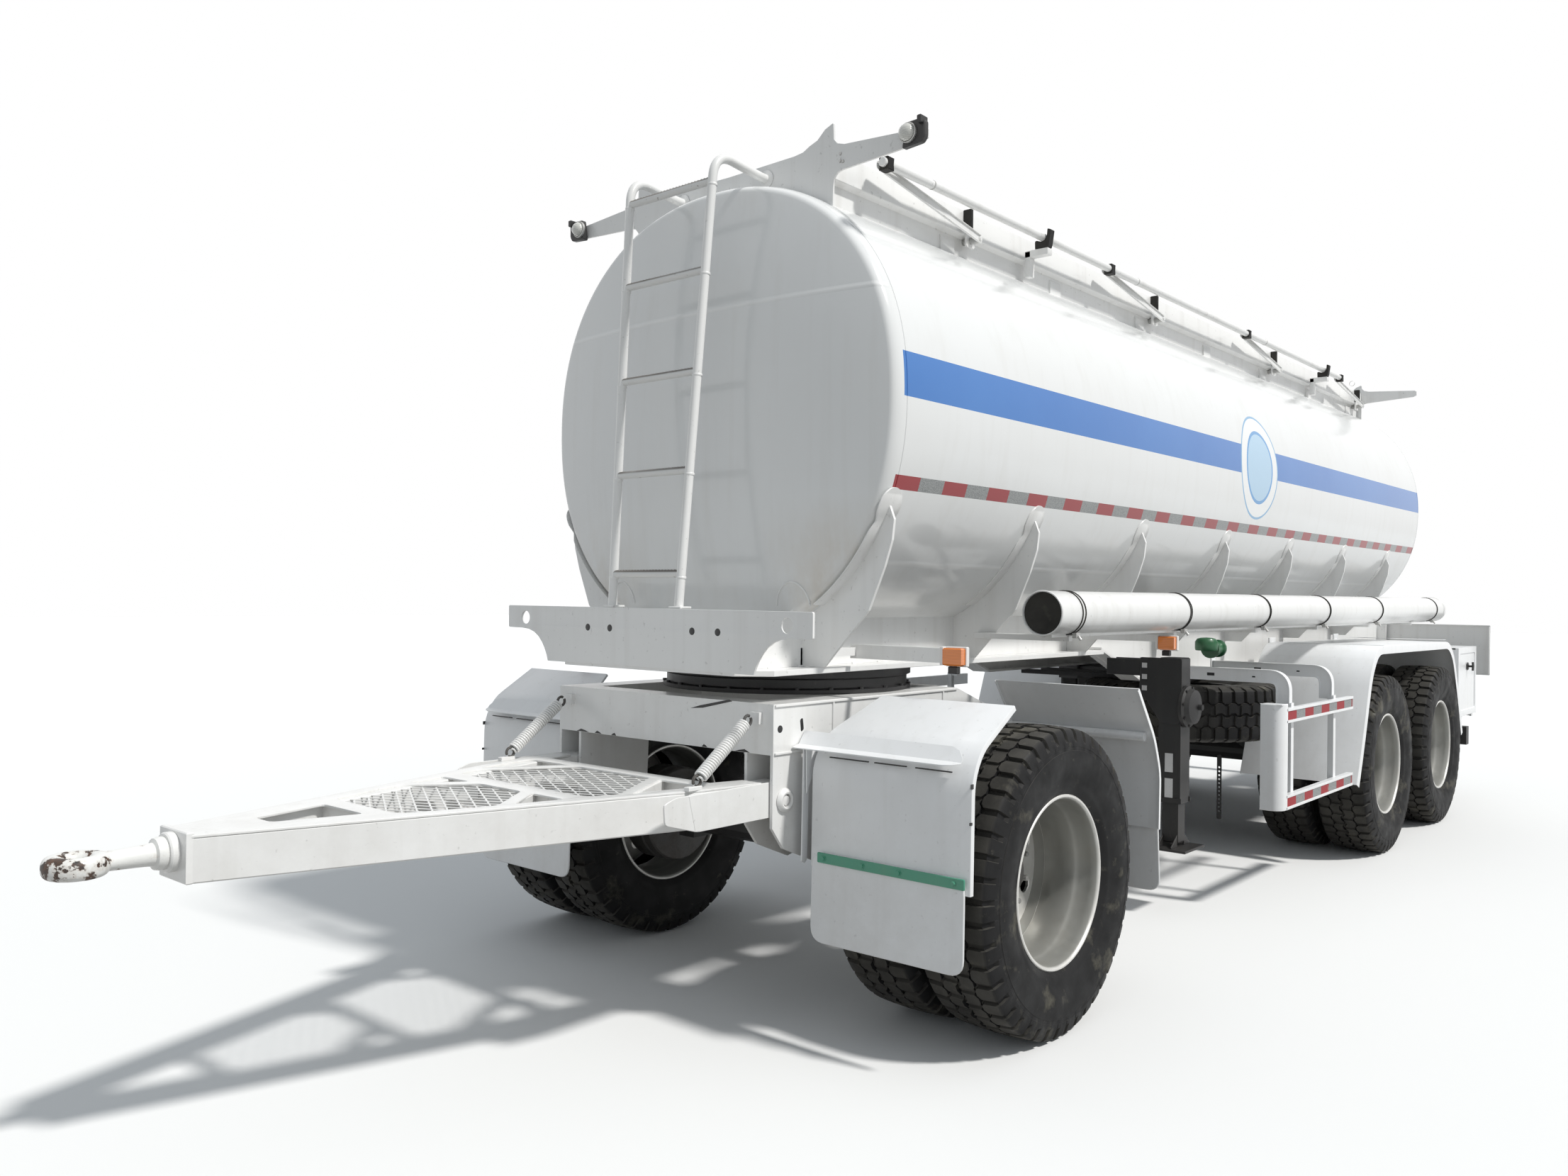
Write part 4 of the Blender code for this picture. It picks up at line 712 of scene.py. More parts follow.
tyreMesh = tyreShape()
rimMesh, hubMesh, nutMesh = wheelShapes()
for station, x in wheel["stations"].items():
    for side, word in hands:
        body = f"wheel_{station}_{word}"
        for twin, y in (("outer", wheel["outerY"]), ("inner", wheel["innerY"])):
            addPiece(f"tyre_{station}_{word}_{twin}_tread", placed(tyreMesh, side, x, y, tyre["center"]),
                     tyreRubber, body, (f"tyre_{station}_{word}_{twin}",), 28, "tyre")
        addPiece(f"rimDisc_{station}_{word}", placed(rimMesh, side, x, 0.0, tyre["center"]), rimSilver, body,
                 (f"rim_{station}_{word}",), 35, "rim_silver")
        addPiece(f"hub_{station}_{word}", placed(hubMesh, side, x, 0.0, tyre["center"]), hubSteel, body)
        addPiece(f"nuts_{station}_{word}", placed(nutMesh, side, x, 0.0, tyre["center"]), zincSteel, body)
print("wheels made")


# Flat plate with holes: filled curve outlines given a thickness and a small bevel, then welded shut.
def cutPlate(outline, holes, axis, low, high, bevel=0.0012):
    curve = bpy.data.curves.new("outline", "CURVE")
    curve.dimensions = "2D"
    curve.fill_mode = "BOTH"
    curve.extrude = (high - low) / 2 - bevel
    curve.bevel_depth = bevel
    curve.offset = -bevel
    for loop in [outline] + list(holes):
        spline = curve.splines.new("POLY")
        spline.points.add(len(loop) - 1)
        for point, (a, b) in zip(spline.points, loop):
            point.co = (a, b, 0, 1)
        spline.use_cyclic_u = True
    holder = bpy.data.objects.new("outline", curve)
    mesh = bpy.data.meshes.new_from_object(holder)
    shell = bmesh.new()
    shell.from_mesh(mesh)
    bmesh.ops.remove_doubles(shell, verts=shell.verts, dist=2e-5)
    points = np.array([vertex.co for vertex in shell.verts])
    shell.verts.index_update()
    polygons = [np.array([[vertex.index for vertex in face.verts]]) for face in shell.faces]
    shell.free()
    bpy.data.objects.remove(holder)
    bpy.data.curves.remove(curve)
    bpy.data.meshes.remove(mesh)
    a, b, height = points[:, 0], points[:, 1], points[:, 2] + (low + high) / 2
    order = {"x": (height, a, b), "y": (a, height, b), "z": (a, b, height)}[axis]
    return np.stack(order, axis=-1), polygons


def roundLoop(corners, reach=0.02, steps=4):
    return [tuple(point) for point in roundedPath(corners, reach, steps, closed=True)]


# Section of y and z carried along x.
def sectionAlong(section, xs):
    rows = [np.array([(x, y, z) for y, z in section]) for x in xs]
    return gridShape(np.stack(rows, axis=1), capLow=True, capHigh=True)


def circleLoop(a, b, radius, count=20):
    t = np.arange(count) * 2 * math.pi / count
    return [(a + radius * math.cos(s), b + radius * math.sin(s)) for s in t]


# Straight bar of a rectangular section between two points of a flat polygon.
def flatBar(start, end, width, low, high):
    start, end = np.asarray(start), np.asarray(end)
    along = (end - start) / np.linalg.norm(end - start)
    across = np.array([-along[1], along[0]]) * width / 2
    return plateShape([start - across, end - across, end + across, start + across], "z", low, high, 0.0006)


# Tread of expanded metal: two families of strands cross as diamonds, cut to a convex outline.
def diamondMesh(outline, level, pitch, slope, strand):
    outline = np.asarray(outline, dtype=float)
    center = outline.mean(axis=0)
    shapes = []
    for sign, lift in ((1, 0), (-1, 0.0012)):
        along = np.array([slope, sign * 1.0])
        along /= np.linalg.norm(along)
        across = np.array([-along[1], along[0]])
        for step in np.arange(-1.0, 1.0, pitch):
            origin = center + across * step
            enter, leave = -9.0, 9.0
            for here, there in zip(outline, np.roll(outline, -1, axis=0)):
                edge = there - here
                inward = np.array([-edge[1], edge[0]])
                if inward.dot(center - here) < 0:
                    inward = -inward
                speed, gap = inward.dot(along), inward.dot(origin - here)
                if abs(speed) < 1e-9:
                    leave = leave if gap > 0 else -99.0
                elif speed > 0:
                    enter = max(enter, -gap / speed)
                else:
                    leave = min(leave, -gap / speed)
            if leave - enter > 0.02:
                shapes.append(flatBar(origin + along * enter, origin + along * leave, strand, level + lift,
                                      level + lift + 0.0025))
    return joinShapes(shapes)


drawbar = {"bottom": 0.751, "top": 0.875, "nose": 2.415, "springY": 0.49}


def drawbarShape():
    low, high = drawbar["bottom"], drawbar["top"]
    shapes = []
    outline = [(2.405, -0.079), (2.405, 0.079), (1.0, 0.502), (0.75, 0.537), (0.75, 0.452), (0.87, 0.418),
               (0.87, -0.418), (0.75, -0.452), (0.75, -0.537), (1.0, -0.502)]
    back = [(0.93, 0.19), (0.93, -0.19), (1.235, -0.375), (1.32, -0.34), (1.33, -0.3), (1.33, 0.3),
            (1.32, 0.34), (1.235, 0.375)]
    front = [(1.405, 0.11), (1.405, -0.11), (1.6, -0.262), (1.64, -0.262), (1.865, -0.18), (1.88, -0.15),
             (1.88, 0.15), (1.865, 0.18), (1.64, 0.262), (1.6, 0.262)]
    holes = [roundLoop(back), roundLoop(front), roundLoop([(1.945, 0.112), (1.945, -0.112), (2.18, -0.045),
                                                           (2.18, 0.045)])]
    for sign in (1, -1):
        holes.append(roundLoop([(0.935, sign * 0.245), (1.205, sign * 0.4), (0.965, sign * 0.452),
                                (0.935, sign * 0.44)]))
        holes.append(roundLoop([(1.405, sign * 0.165), (1.56, sign * 0.285), (1.405, sign * 0.325)]))
    shapes.append(cutPlate(outline, holes, "z", high - 0.007, high, 0.0015))
    beam = [(2.4, 0.006), (2.4, 0.079), (1.0, 0.503), (0.75, 0.538), (0.75, 0.452), (0.9, 0.428)]
    shapes.append(bothSides(plateShape(beam, "z", low, high - 0.0065, 0.004)))
    for x, half in ((0.885, 0.44), (1.367, 0.33), (1.912, 0.17)):
        shapes.append(blockShape((x - 0.022, x + 0.022), (-half, half), (high - 0.085, high - 0.006), 0.003))
    for start, end in (((0.9, 0.215), (1.245, 0.409)), ((1.39, 0.14), (1.61, 0.287))):
        shapes.append(bothSides(flatBar(start, end, 0.035, high - 0.055, high - 0.006)))
    # Pointed cover plates on the outside of the ends, round ears on the pivots and the plate at the nose.
    cover = [(0.62, 0.772), (0.64, 0.754), (1.055, 0.754), (1.195, 0.793), (1.2, 0.857), (1.15, 0.873),
             (0.64, 0.873), (0.62, 0.855)]
    shapes.append(bothSides(plateShape(roundLoop(cover, 0.012, 3), "y", 0.5375, 0.544, 0.0015)))
    ear = [(0.609, 0.785), (0.63, 0.757), (0.8, 0.757), (0.8, 0.869), (0.63, 0.869), (0.609, 0.842)]
    shapes.append(bothSides(plateShape(roundLoop(ear, 0.025, 4), "y", 0.4535, 0.538, 0.002)))
    shapes.append(blockShape((2.395, drawbar["nose"]), (-0.0795, 0.0795), (low - 0.0005, high + 0.0075),
                             0.003))
    collar = [(0, 2.413), (0.05, 2.413), (0.052, 2.417), (0.052, 2.434), (0.049, 2.438), (0, 2.438)]
    shapes.append(turnedShape(collar, "x", (0, 0, 0.825), 32))
    weld = [(1.045, 0.757), (1.065, 0.757), (1.095, 0.872), (1.078, 0.872)]
    shapes.append(bothSides(plateShape(weld, "y", 0.543, 0.5452, 0.0008)))
    return joinShapes(shapes)


addPiece("drawbarFrame", fromAxle(drawbarShape()), frameWhite, "drawbar", ("drawbar_frame",), 32,
         "white_paint")
treads = []
for outline in ([(0.905, 0.225), (0.905, -0.225), (1.235, -0.4), (1.345, -0.36), (1.345, 0.36),
                 (1.235, 0.4)], [(1.385, 0.135), (1.385, -0.135), (1.59, -0.285), (1.645, -0.285),
                                 (1.9, -0.19), (1.9, 0.19), (1.645, 0.285), (1.59, 0.285)]):
    treads.append(diamondMesh(outline, 0.8635, 0.042, 0.55, 0.006))
addSet("treadMesh", treads, whitePaint, "drawbar")


# Tow eye: the ring is a fat torus with a flat top and bottom, and the shank swells to a neck and a nut.
def towEyeShape():
    eyeX, level = 2.641, 0.825
    s = np.linspace(0, 2 * math.pi, 28, endpoint=False)
    ringRadius = 0.0505 + 0.0245 * np.sign(np.cos(s)) * np.abs(np.cos(s)) ** 0.8
    ringHeight = 0.0275 * np.sign(np.sin(s)) * np.abs(np.sin(s)) ** 0.8
    ring = turnedShape(np.stack([ringRadius, ringHeight], 1), "z", (eyeX, 0, level), 56)
    steps = np.array([2.4355, 2.44, 2.452, 2.462, 2.466, 2.48, 2.505, 2.535, 2.56, 2.58, 2.6])
    wide = np.array([0.04, 0.0425, 0.0425, 0.04, 0.03, 0.0285, 0.027, 0.0275, 0.031, 0.04, 0.042])
    tall = np.array([0.04, 0.0425, 0.0425, 0.04, 0.03, 0.0285, 0.027, 0.026, 0.025, 0.024, 0.02])
    t = np.linspace(0, 2 * math.pi, 28, endpoint=False)[:, None]
    shank = np.stack([steps[None] + 0 * t, wide[None] * np.cos(t), level + tall[None] * np.sin(t)], axis=-1)
    return joinShapes([ring, gridShape(shank, capLow=True, capHigh=True)])


addPiece("towEye", fromAxle(towEyeShape()), chippedPaint, "drawbar", ("tow_eye",), 40, "forged_steel")


# Balance spring: a close coil about the line between its hooks, P = C(s) + r (N cos 2 pi n s + B sin 2
# pi n s).
def coilShape(start, end, radius, wire, turns):
    start, end = np.asarray(start, dtype=float), np.asarray(end, dtype=float)
    along = (end - start) / np.linalg.norm(end - start)
    across = np.cross(along, (0, 1, 0))
    across /= np.linalg.norm(across)
    third = np.cross(along, across)
    s = np.linspace(0, 1, turns * 14 + 1)[:, None]
    turn = s * turns * 2 * math.pi
    shrink = radius * np.clip(np.minimum(s, 1 - s) * turns * 0.7 + 0.35, 0, 1)
    path = start + (end - start) * s + shrink * (across * np.cos(turn) + third * np.sin(turn))
    return pipeShape(path, wire, 7)


def hookShape(center, away, size, wire):
    away = np.asarray(away, dtype=float) / np.linalg.norm(away)
    t = np.linspace(0.15 * math.pi, 1.95 * math.pi, 22)[:, None]
    side = np.cross(away, (0, 1, 0))
    loop = np.asarray(center) + size * (away * -np.cos(t) + side * np.sin(t))
    return pipeShape(loop, wire, 8)


for side, word in hands:
    y = side * drawbar["springY"]
    head = np.array([axleX + 0.755, y, 1.09])
    foot = np.array([axleX + 1.02, y, 0.893])
    along = (foot - head) / np.linalg.norm(foot - head)
    coil = coilShape(head + along * 0.03, foot - along * 0.03, 0.0195, 0.0043, 28)
    bend = ("dolly", "drawbar", tuple(head), tuple(foot))
    addPiece(f"springCoil_{word}", coil, frameWhite, bend, (f"drawbar_spring_{word}",), 60, "white_paint")
    hooks = joinShapes([hookShape(head + along * 0.018, along, 0.017, 0.0052),
                        hookShape(foot - along * 0.018, -along, 0.017, 0.0052)])
    addPiece(f"springHooks_{word}", hooks, hubSteel, bend)
    clip = movedShape(blockShape((0.992, 1.052), (-0.011, 0.011), (0.8745, 0.889), 0.002), (axleX, y, 0))
    addPiece(f"springClip_{word}", clip, frameWhite, "drawbar")
print("drawbar made")

# Sheet guards: a path in x and z carried across y, with lips that turn towards the wheel on both edges.
# P(s, v) = (x(s), yEdge(s) + dy(v), z(s)) + depth(v) * n(s), n being the path's normal on the wheel's side.
guard = {"inner": 0.622, "outer": 1.25, "sheet": 0.003, "lip": 0.018, "skirt": 0.048,
         "green": (0.607, 0.641), "ridge": (0.565, 1.215)}


def guardShape(path, yLow, yHigh, lipLow, lipHigh, towards, reach=0.05):
    corners = [(x, low, z) for (x, z), low in zip(path, np.broadcast_to(yLow, len(path)))]
    line = roundedPath(corners, reach, 5)
    highs = roundedPath([(x, high, z) for (x, z), high in zip(path, np.broadcast_to(yHigh, len(path)))],
                        reach, 5)
    tangent = np.gradient(line[:, [0, 2]], axis=0)
    tangent /= np.linalg.norm(tangent, axis=1, keepdims=True)
    normal = np.stack([-tangent[:, 1], tangent[:, 0]], axis=1) * towards
    sheet = guard["sheet"]
    loop = [(0, 0.0, lipLow), (0, 0.0, 0.003), (0, 0.0009, 0.0009), (0, 0.003, 0), (1, -0.003, 0),
            (1, -0.0009, 0.0009), (1, 0.0, 0.003), (1, 0.0, lipHigh), (1, -sheet, lipHigh),
            (1, -sheet, 0.0055), (1, -0.0055, sheet), (0, 0.0055, sheet), (0, sheet, 0.0055),
            (0, sheet, lipLow)]
    rows = []
    for edge, shift, depth in loop:
        y = (highs if edge else line)[:, 1] + shift
        rows.append(np.stack([line[:, 0] + normal[:, 0] * depth, y, line[:, 2] + normal[:, 1] * depth],
                             axis=-1))
    return gridShape(np.stack(rows), capLow=True, capHigh=True)


# Hanging flap: a plate in y and z, leaned so that its foot stands further out than its head.
def flapShape(y, z, xTop, xFoot):
    outline = [(y[0], z[1]), (y[0], z[0]), (y[1], z[0]), (y[1], z[1])]
    outline = roundLoop(outline, 0.055, 7)
    points, polygons = plateShape(outline, "x", -0.004, 0.004, 0.0025)
    share = (z[1] - points[:, 2]) / (z[1] - z[0])
    sag = 0.006 * np.sin(points[:, 1] * 9.0) * share ** 2
    points[:, 0] += xTop + (xFoot - xTop) * share + sag
    return points, polygons


# Angle bar on the front guard: one leg lies on the sheet, the other stands out and tapers at its end.
def ridgeShape():
    section = np.array([(0.556, 1.0345), (0.56, 1.0365), (0.592, 0.9935), (0.6255, 0.985), (0.6255, 0.9815),
                        (0.59, 0.9895)])
    rows = []
    for y, share in ((guard["ridge"][0], 1.0), (guard["ridge"][0] + 0.003, 1.0), (1.165, 1.0), (1.195, 0.75),
                     (guard["ridge"][1], 0.25)):
        x = 0.592 + (section[:, 0] - 0.592) * share
        z = 0.9915 + (section[:, 1] - 0.9915) * share
        rows.append(np.stack([x, np.full(len(section), y), z], axis=-1))
    return gridShape(np.stack(rows, axis=1), capLow=True, capHigh=True)


frontPath = [(0.334, 1.154), (0.536, 1.031), (0.585, 0.94), (0.59, 0.588)]
middlePath = [(-0.6, 1.16), (-0.748, 0.966), (-0.806, 0.823), (-0.8, 0.599)]
frontGuard = [guardShape(frontPath, (0.725, 0.64, guard["inner"], guard["inner"]), guard["outer"], 0.01,
                         guard["lip"], -1), ridgeShape()]
frontGuard.append(flapShape((0.634, 1.236), (0.34, 0.64), 0.596, 0.6055))
frontGuard.append(pipeShape([(0.522, 0.561, 1.01), (0.522, 0.8, 1.01), (0.522, 1.22, 1.01)], 0.0175, 16))
strut = [(0.57, 0.985), (0.6, 0.985), (0.606, 0.6), (0.59, 0.592), (0.578, 0.6)]
frontGuard.append(plateShape(strut, "y", 0.59, 0.596, 0.0008))
gusset = [(0.486, 1.022), (0.598, 0.986), (0.594, 0.83)]
frontGuard.append(plateShape(gusset, "y", 0.6005, 0.6045, 0.0008))
middleGuard = [guardShape(middlePath, guard["inner"], guard["outer"], 0.01, guard["lip"], 1)]
middleGuard.append(flapShape((0.634, 1.236), (0.345, 0.69), -0.805, -0.829))
middleGuard.append(pipeShape([(-0.715, 0.561, 0.965), (-0.715, 0.8, 0.965), (-0.715, 1.22, 0.965)], 0.0175,
                             16))
hanger = [(-0.7, 1.0), (-0.745, 0.985), (-0.8, 0.83), (-0.77, 0.83)]
middleGuard.append(plateShape(hanger, "y", 0.6005, 0.6045, 0.0008))
for side, word in hands:
    for shapes, name in ((frontGuard, "front"), (middleGuard, "mid")):
        shape = movedShape(fromAxle(joinShapes(shapes)), mirrorY=side < 0)
        addPiece(f"guard_{name}_{word}", shape, wingWhite, "dolly", (f"mudguard_{name}_{word}",), 30,
                 "white_paint")

# Green strip with its bolts, thin black strips of painted shade for the slots under the ridge, and the clip
# on the guard's edge.
strip = [(0.662, guard["green"][0]), (1.238, guard["green"][0]), (1.238, guard["green"][1]),
         (0.662, guard["green"][1])]
addPiece("greenStrips", fromAxle(bothSides(plateShape(roundLoop(strip, 0.004, 3), "x", 0.599, 0.606,
                                                      0.0015))), greenPaint, "dolly")
bolts, slots = [], []
for y in (0.69, 0.85, 0.995, 1.2):
    bolt = [(0, 0.605), (0.0105, 0.605), (0.0105, 0.6075), (0.0075, 0.608), (0.007, 0.6125), (0, 0.613)]
    bolts.append(turnedShape(bolt, "x", (0, y, 0.624), 6))
# Black blocks flush on the sheet under the ridge are painted shade where the slots are.
for low, high in ((0.7, 0.86), (0.885, 1.01), (1.045, 1.18)):
    slots.append(blockShape((0.586, 0.5925), (low, high), (0.9585, 0.9625), 0.0006))
slots.append(blockShape((0.578, 0.5915), (1.2485, 1.2515), (0.915, 0.93), 0.0006))
slots.append(blockShape((0.583, 0.5945), (1.2475, 1.2515), (0.805, 0.814), 0.0006))
addPair("guardBolts", bolts, greenPaint, "dolly")
addPair("guardSlotShadeAndClips", slots, blackPaint, "dolly")

# Long guard over both rear wheels: a deep skirt outside, round stiffening ribs and the tubes that carry it.
rearPath = [(-3.4, 0.479), (-3.5, 0.7), (-3.66, 1.1), (-3.805, 1.238), (-5.567, 1.225), (-5.72, 1.13),
            (-5.88, 0.84), (-5.994, 0.565)]
rearGuard = [guardShape(rearPath, 0.612, 1.259, 0.016, guard["skirt"], 1, 0.13)]
for x in (-4.07, -5.39):
    rearGuard.append(pipeShape([(x, 0.561, 1.2065), (x, 0.9, 1.2065), (x, 1.235, 1.2065)], 0.021, 16))
    rearGuard.append(blockShape((x - 0.055, x + 0.055), (0.5605, 0.5685), (1.15, 1.262), 0.0015))
for x in (-3.98, -5.48):
    rearGuard.append(blockShape((x - 0.02, x + 0.02), (0.62, 1.25), (1.2365, 1.2395), 0.001))
for side, word in hands:
    shape = movedShape(fromAxle(joinShapes(rearGuard)), mirrorY=side < 0)
    addPiece(f"guard_rear_{word}", shape, wingWhite, "chassis", (f"rear_mudguard_{word}",), 30,
             "white_paint")
print("mudguards made")


# Flat section carried along a path in y and z: u runs across the path in its plane, w along x.
def bentBar(section, path, x):
    section = np.asarray(section, dtype=float)
    path = np.asarray(path, dtype=float)
    tangent = np.gradient(path, axis=0)
    tangent /= np.linalg.norm(tangent, axis=1, keepdims=True)
    normal = np.stack([-tangent[:, 1], tangent[:, 0]], axis=1)
    rows = []
    for u, w in section:
        rows.append(np.stack([np.full(len(path), x + w), path[:, 0] + normal[:, 0] * u,
                              path[:, 1] + normal[:, 1] * u], axis=-1))
    return gridShape(np.stack(rows), capLow=True, capHigh=True)


# Side guard: channel rails with the tape inset, a rounded nose panel, posts and two bent channel arms.
sideGuard = {"yOut": 1.255, "yIn": 1.225, "front": -2.185, "rear": -3.33, "rails": ((0.485, 0.555),
                                                                                    (0.905, 0.975)),
             "posts": (-2.42, -3.1)}


def sideGuardShape():
    out, inside = sideGuard["yOut"], sideGuard["yIn"]
    front, rear = sideGuard["front"], sideGuard["rear"]
    shapes = []
    for low, high in sideGuard["rails"]:
        section = [(out, low + 0.001), (out, low + 0.012), (out - 0.001, low + 0.013),
                   (out - 0.005, low + 0.0135), (out - 0.005, high - 0.0135), (out - 0.001, high - 0.013),
                   (out, high - 0.012), (out, high - 0.001), (out - 0.001, high), (inside, high),
                   (inside, low), (out - 0.001, low)]
        shapes.append(sectionAlong(section, (rear, front - 0.07)))
        shapes.append(blockShape((rear - 0.004, rear), (inside, out), (low, high), 0.001))
    # Nose: a half-round sheet in plan, taller than the rails, with its top edge curled in.
    t = np.linspace(0, math.pi * 0.5, 8)
    outer = np.stack([front - 0.05 + 0.05 * np.sin(t), out - 0.05 + 0.05 * np.cos(t)], 1)
    outer = np.concatenate([[(front - 0.078, out)], outer, [(front, 1.15)]])
    inner = outer + np.array([(0, -0.004)] * 2 + [(-0.003, -0.003)] * 6 + [(-0.004, 0)] * 2)
    loop = np.concatenate([outer, inner[::-1]])
    rows = []
    for z, reach in ((0.485, 0.003), (0.488, 0), (0.7, 0), (0.996, 0), (0.999, 0.003)):
        flat = loop - np.array([(reach, reach)])
        rows.append(np.column_stack([flat, np.full(len(flat), z)]))
    shapes.append(gridShape(np.stack(rows, axis=1), capLow=True, capHigh=True))
    shapes.append(blockShape((front - 0.075, front - 0.004), (1.155, out - 0.004), (0.9935, 0.9985), 0.001))
    for x in sideGuard["posts"]:
        post = [(0.03, -0.019), (0.03, 0.019), (0, 0.019), (0, 0.0155), (0.0265, 0.0155), (0.0265, -0.0155),
                (0, -0.0155), (0, -0.019)]
        rows = [np.array([(x + w, inside - 0.03 + u, z) for u, w in post]) for z in (0.498, 0.992)]
        shapes.append(gridShape(np.stack(rows, axis=1), capLow=True, capHigh=True))
        path = roundedPath([(0.5605, 1.1175), (1.02, 1.1175), (1.183, 1.1175), (1.183, 0.972)], 0.15, 12)
        channel = [(-0.033, -0.021), (0.033, -0.021), (0.033, 0.021), (0.0295, 0.021), (0.0295, 0.0125),
                   (-0.0295, 0.0125), (-0.0295, 0.021), (-0.033, 0.021)]
        shapes.append(bentBar(channel, path, x))
        shapes.append(blockShape((x - 0.035, x + 0.035), (0.5605, 0.5665), (1.06, 1.175), 0.0012))
    return joinShapes(shapes)


guardMesh = fromAxle(sideGuardShape())
tapes, armSlotShade = [], []
for low, high in sideGuard["rails"]:
    tapes.append(blockShape((sideGuard["rear"] + 0.004, sideGuard["front"] - 0.086),
                            (sideGuard["yOut"] - 0.0055, sideGuard["yOut"] - 0.0035),
                            (low + 0.014, high - 0.014), 0.0003))
# Thin black blocks on the arms' webs are painted shade where their slots are.
for x in sideGuard["posts"]:
    armSlotShade.append(blockShape((x + 0.0115, x + 0.0137), (0.8, 0.838), (1.1075, 1.1225), 0.0004))
    armSlotShade.append(blockShape((x + 0.0115, x + 0.0137), (1.03, 1.046), (1.109, 1.116), 0.0004))
for side, word in hands:
    addPiece(f"sideGuard_{word}", movedShape(guardMesh, mirrorY=side < 0), wingWhite, "chassis",
             (f"side_guard_{word}",), 30, "white_paint")
addPair("sideTapes", tapes, guardTape, "chassis")
addPair("sideSlotShade", armSlotShade, blackPaint, "chassis")
print("side guards made")

# Tank: sections |y/a|^n + |z/b|^n = 1 carried along x, shrunk over the knuckle and the dish of each head.
hull = {"width": 0.883, "height": 0.8535, "middle": 2.177, "power": 2.18, "front": 0.488, "rear": -6.37,
        "knuckle": 0.055, "dish": 0.085, "edge": 0.965}


def tankShape():
    segments = 144
    t = (np.arange(segments) + 0.5) * 2 * math.pi / segments
    power = 2 / hull["power"]
    y = np.sign(np.cos(t)) * np.abs(np.cos(t)) ** power * hull["width"]
    z = np.sign(np.sin(t)) * np.abs(np.sin(t)) ** power * hull["height"]
    edge = hull["edge"]
    half = [(scale, hull["dish"] * (1 - (scale / edge) ** 2)) for scale in (0.02, 0.2, 0.4, 0.6, 0.75, 0.87,
                                                                            0.94)]
    for turn in np.linspace(math.pi / 2, 0, 7):
        half.append((edge + (1 - edge) * math.cos(turn), hull["knuckle"] * (math.sin(turn) - 1)))
    # The joint of head and shell is a shallow groove.
    half += [(1.0, -0.06), (0.9972, -0.0615), (0.9972, -0.065), (1.0, -0.0665)]
    profile = [(scale, hull["front"] + x) for scale, x in half]
    profile += [(1.0, x) for x in np.linspace(0.2, -6.1, 12)]
    profile += [(scale, hull["rear"] - x) for scale, x in reversed(half)]
    points = np.array([[(x, scale * yy, hull["middle"] + scale * zz) for scale, x in profile] for yy,
                       zz in zip(y, z)])
    return gridShape(points, capLow=True, capHigh=True)


# Point and outward normal of the tank's flank at a height, on the left side.
def flankAt(z):
    part = (z - hull["middle"]) / hull["height"]
    power = hull["power"]
    share = (1 - np.abs(part) ** power) ** (1 / power)
    y = hull["width"] * share
    ny = share ** (power - 1) / hull["width"]
    nz = np.sign(part) * np.abs(part) ** (power - 1) / hull["height"]
    size = np.sqrt(ny ** 2 + nz ** 2)
    return y, ny / size, nz / size


def headX(y, z):
    power = hull["power"]
    powers = np.abs(y / hull["width"]) ** power + np.abs((z - hull["middle"]) / hull["height"]) ** power
    scale = powers ** (1 / power)
    return hull["front"] + hull["dish"] * (1 - (scale / hull["edge"]) ** 2)


# Doubler between bracket and shell: a thin plate that follows the flank and ends in an arch.
def doublerShape(x, low, high, halfWidth):
    heights = low + (high - low) * (1 - (1 - np.linspace(0, 1, 26)) ** 1.7)
    y, ny, nz = flankAt(heights)
    waist = 1 - 0.26 * np.exp(-((heights - high + 0.115) / 0.022) ** 2)
    left = np.clip((high - heights) / 0.06, 0.0, 1.0)
    wide = halfWidth * waist * np.sqrt(1 - (1 - left) ** 2 * 0.985)
    rows = []
    for across, lift in ((-1.0, -0.004), (-1.0, 0.6), (-0.94, 1.0), (0.94, 1.0), (1.0, 0.6), (1.0, -0.004)):
        off = lift * 0.005
        rows.append(np.stack([x + wide * across, y + ny * off, heights + nz * off], axis=-1))
    return gridShape(np.stack(rows), capLow=True, capHigh=True)


gussets = (0.425, -0.564, -1.567, -2.6, -3.6, -4.65, -5.7)
addPiece("tankShell", fromAxle(tankShape()), tankPaint, "chassis", ("tank",), 50, "tank_paint")
doublers = [doublerShape(x, 1.47, 1.868, 0.062) for x in gussets]
# Bead round the pad at the foot of the head, as an arch on the dish.
t = np.linspace(0, math.pi, 22)
arch = np.stack([0.448 + 0.072 * np.cos(t) * (1 - 0.2 * np.sin(t)), 1.462 + 0.085 * np.sin(t) ** 0.8],
                axis=1)
bead = np.column_stack([headX(arch[:, 0], arch[:, 1]) + 0.001, arch])
doublers.append(pipeShape(bead, 0.0032, 8))
addPair("tankDoublers", doublers, whitePaint, "chassis", (), 40)

# Hose tube: a thin wall with a rolled lip, closed inside the mouth by a black cap that is painted shade of
# the hollow tube; black strap pairs and latches.
hose = {"front": -0.35, "rear": -6.4, "y": 0.97, "z": 1.442}
mouth, tail, hoseLine = hose["front"], hose["rear"], (0, hose["y"], hose["z"])
strapPlaces = (-0.53, -1.57, -2.6, -3.6, -4.7, -6.15)
wall = [(0, tail + 0.03), (0.079, tail + 0.03), (0.079, tail + 0.001), (0.083, tail), (0.0905, tail + 0.003),
        (0.0905, tail + 0.04), (0.085, tail + 0.046)]
wall += [(0.085, x) for x in np.linspace(tail + 0.3, mouth - 0.3, 9)]
wall += [(0.085, mouth - 0.02), (0.0865, mouth - 0.014), (0.0875, mouth - 0.003), (0.0855, mouth),
         (0.0815, mouth), (0.0805, mouth - 0.004), (0.0805, mouth - 0.08), (0, mouth - 0.08)]
hoseShapes = [turnedShape(wall, "x", hoseLine, 48)]
dark, straps, latches = [], [], []
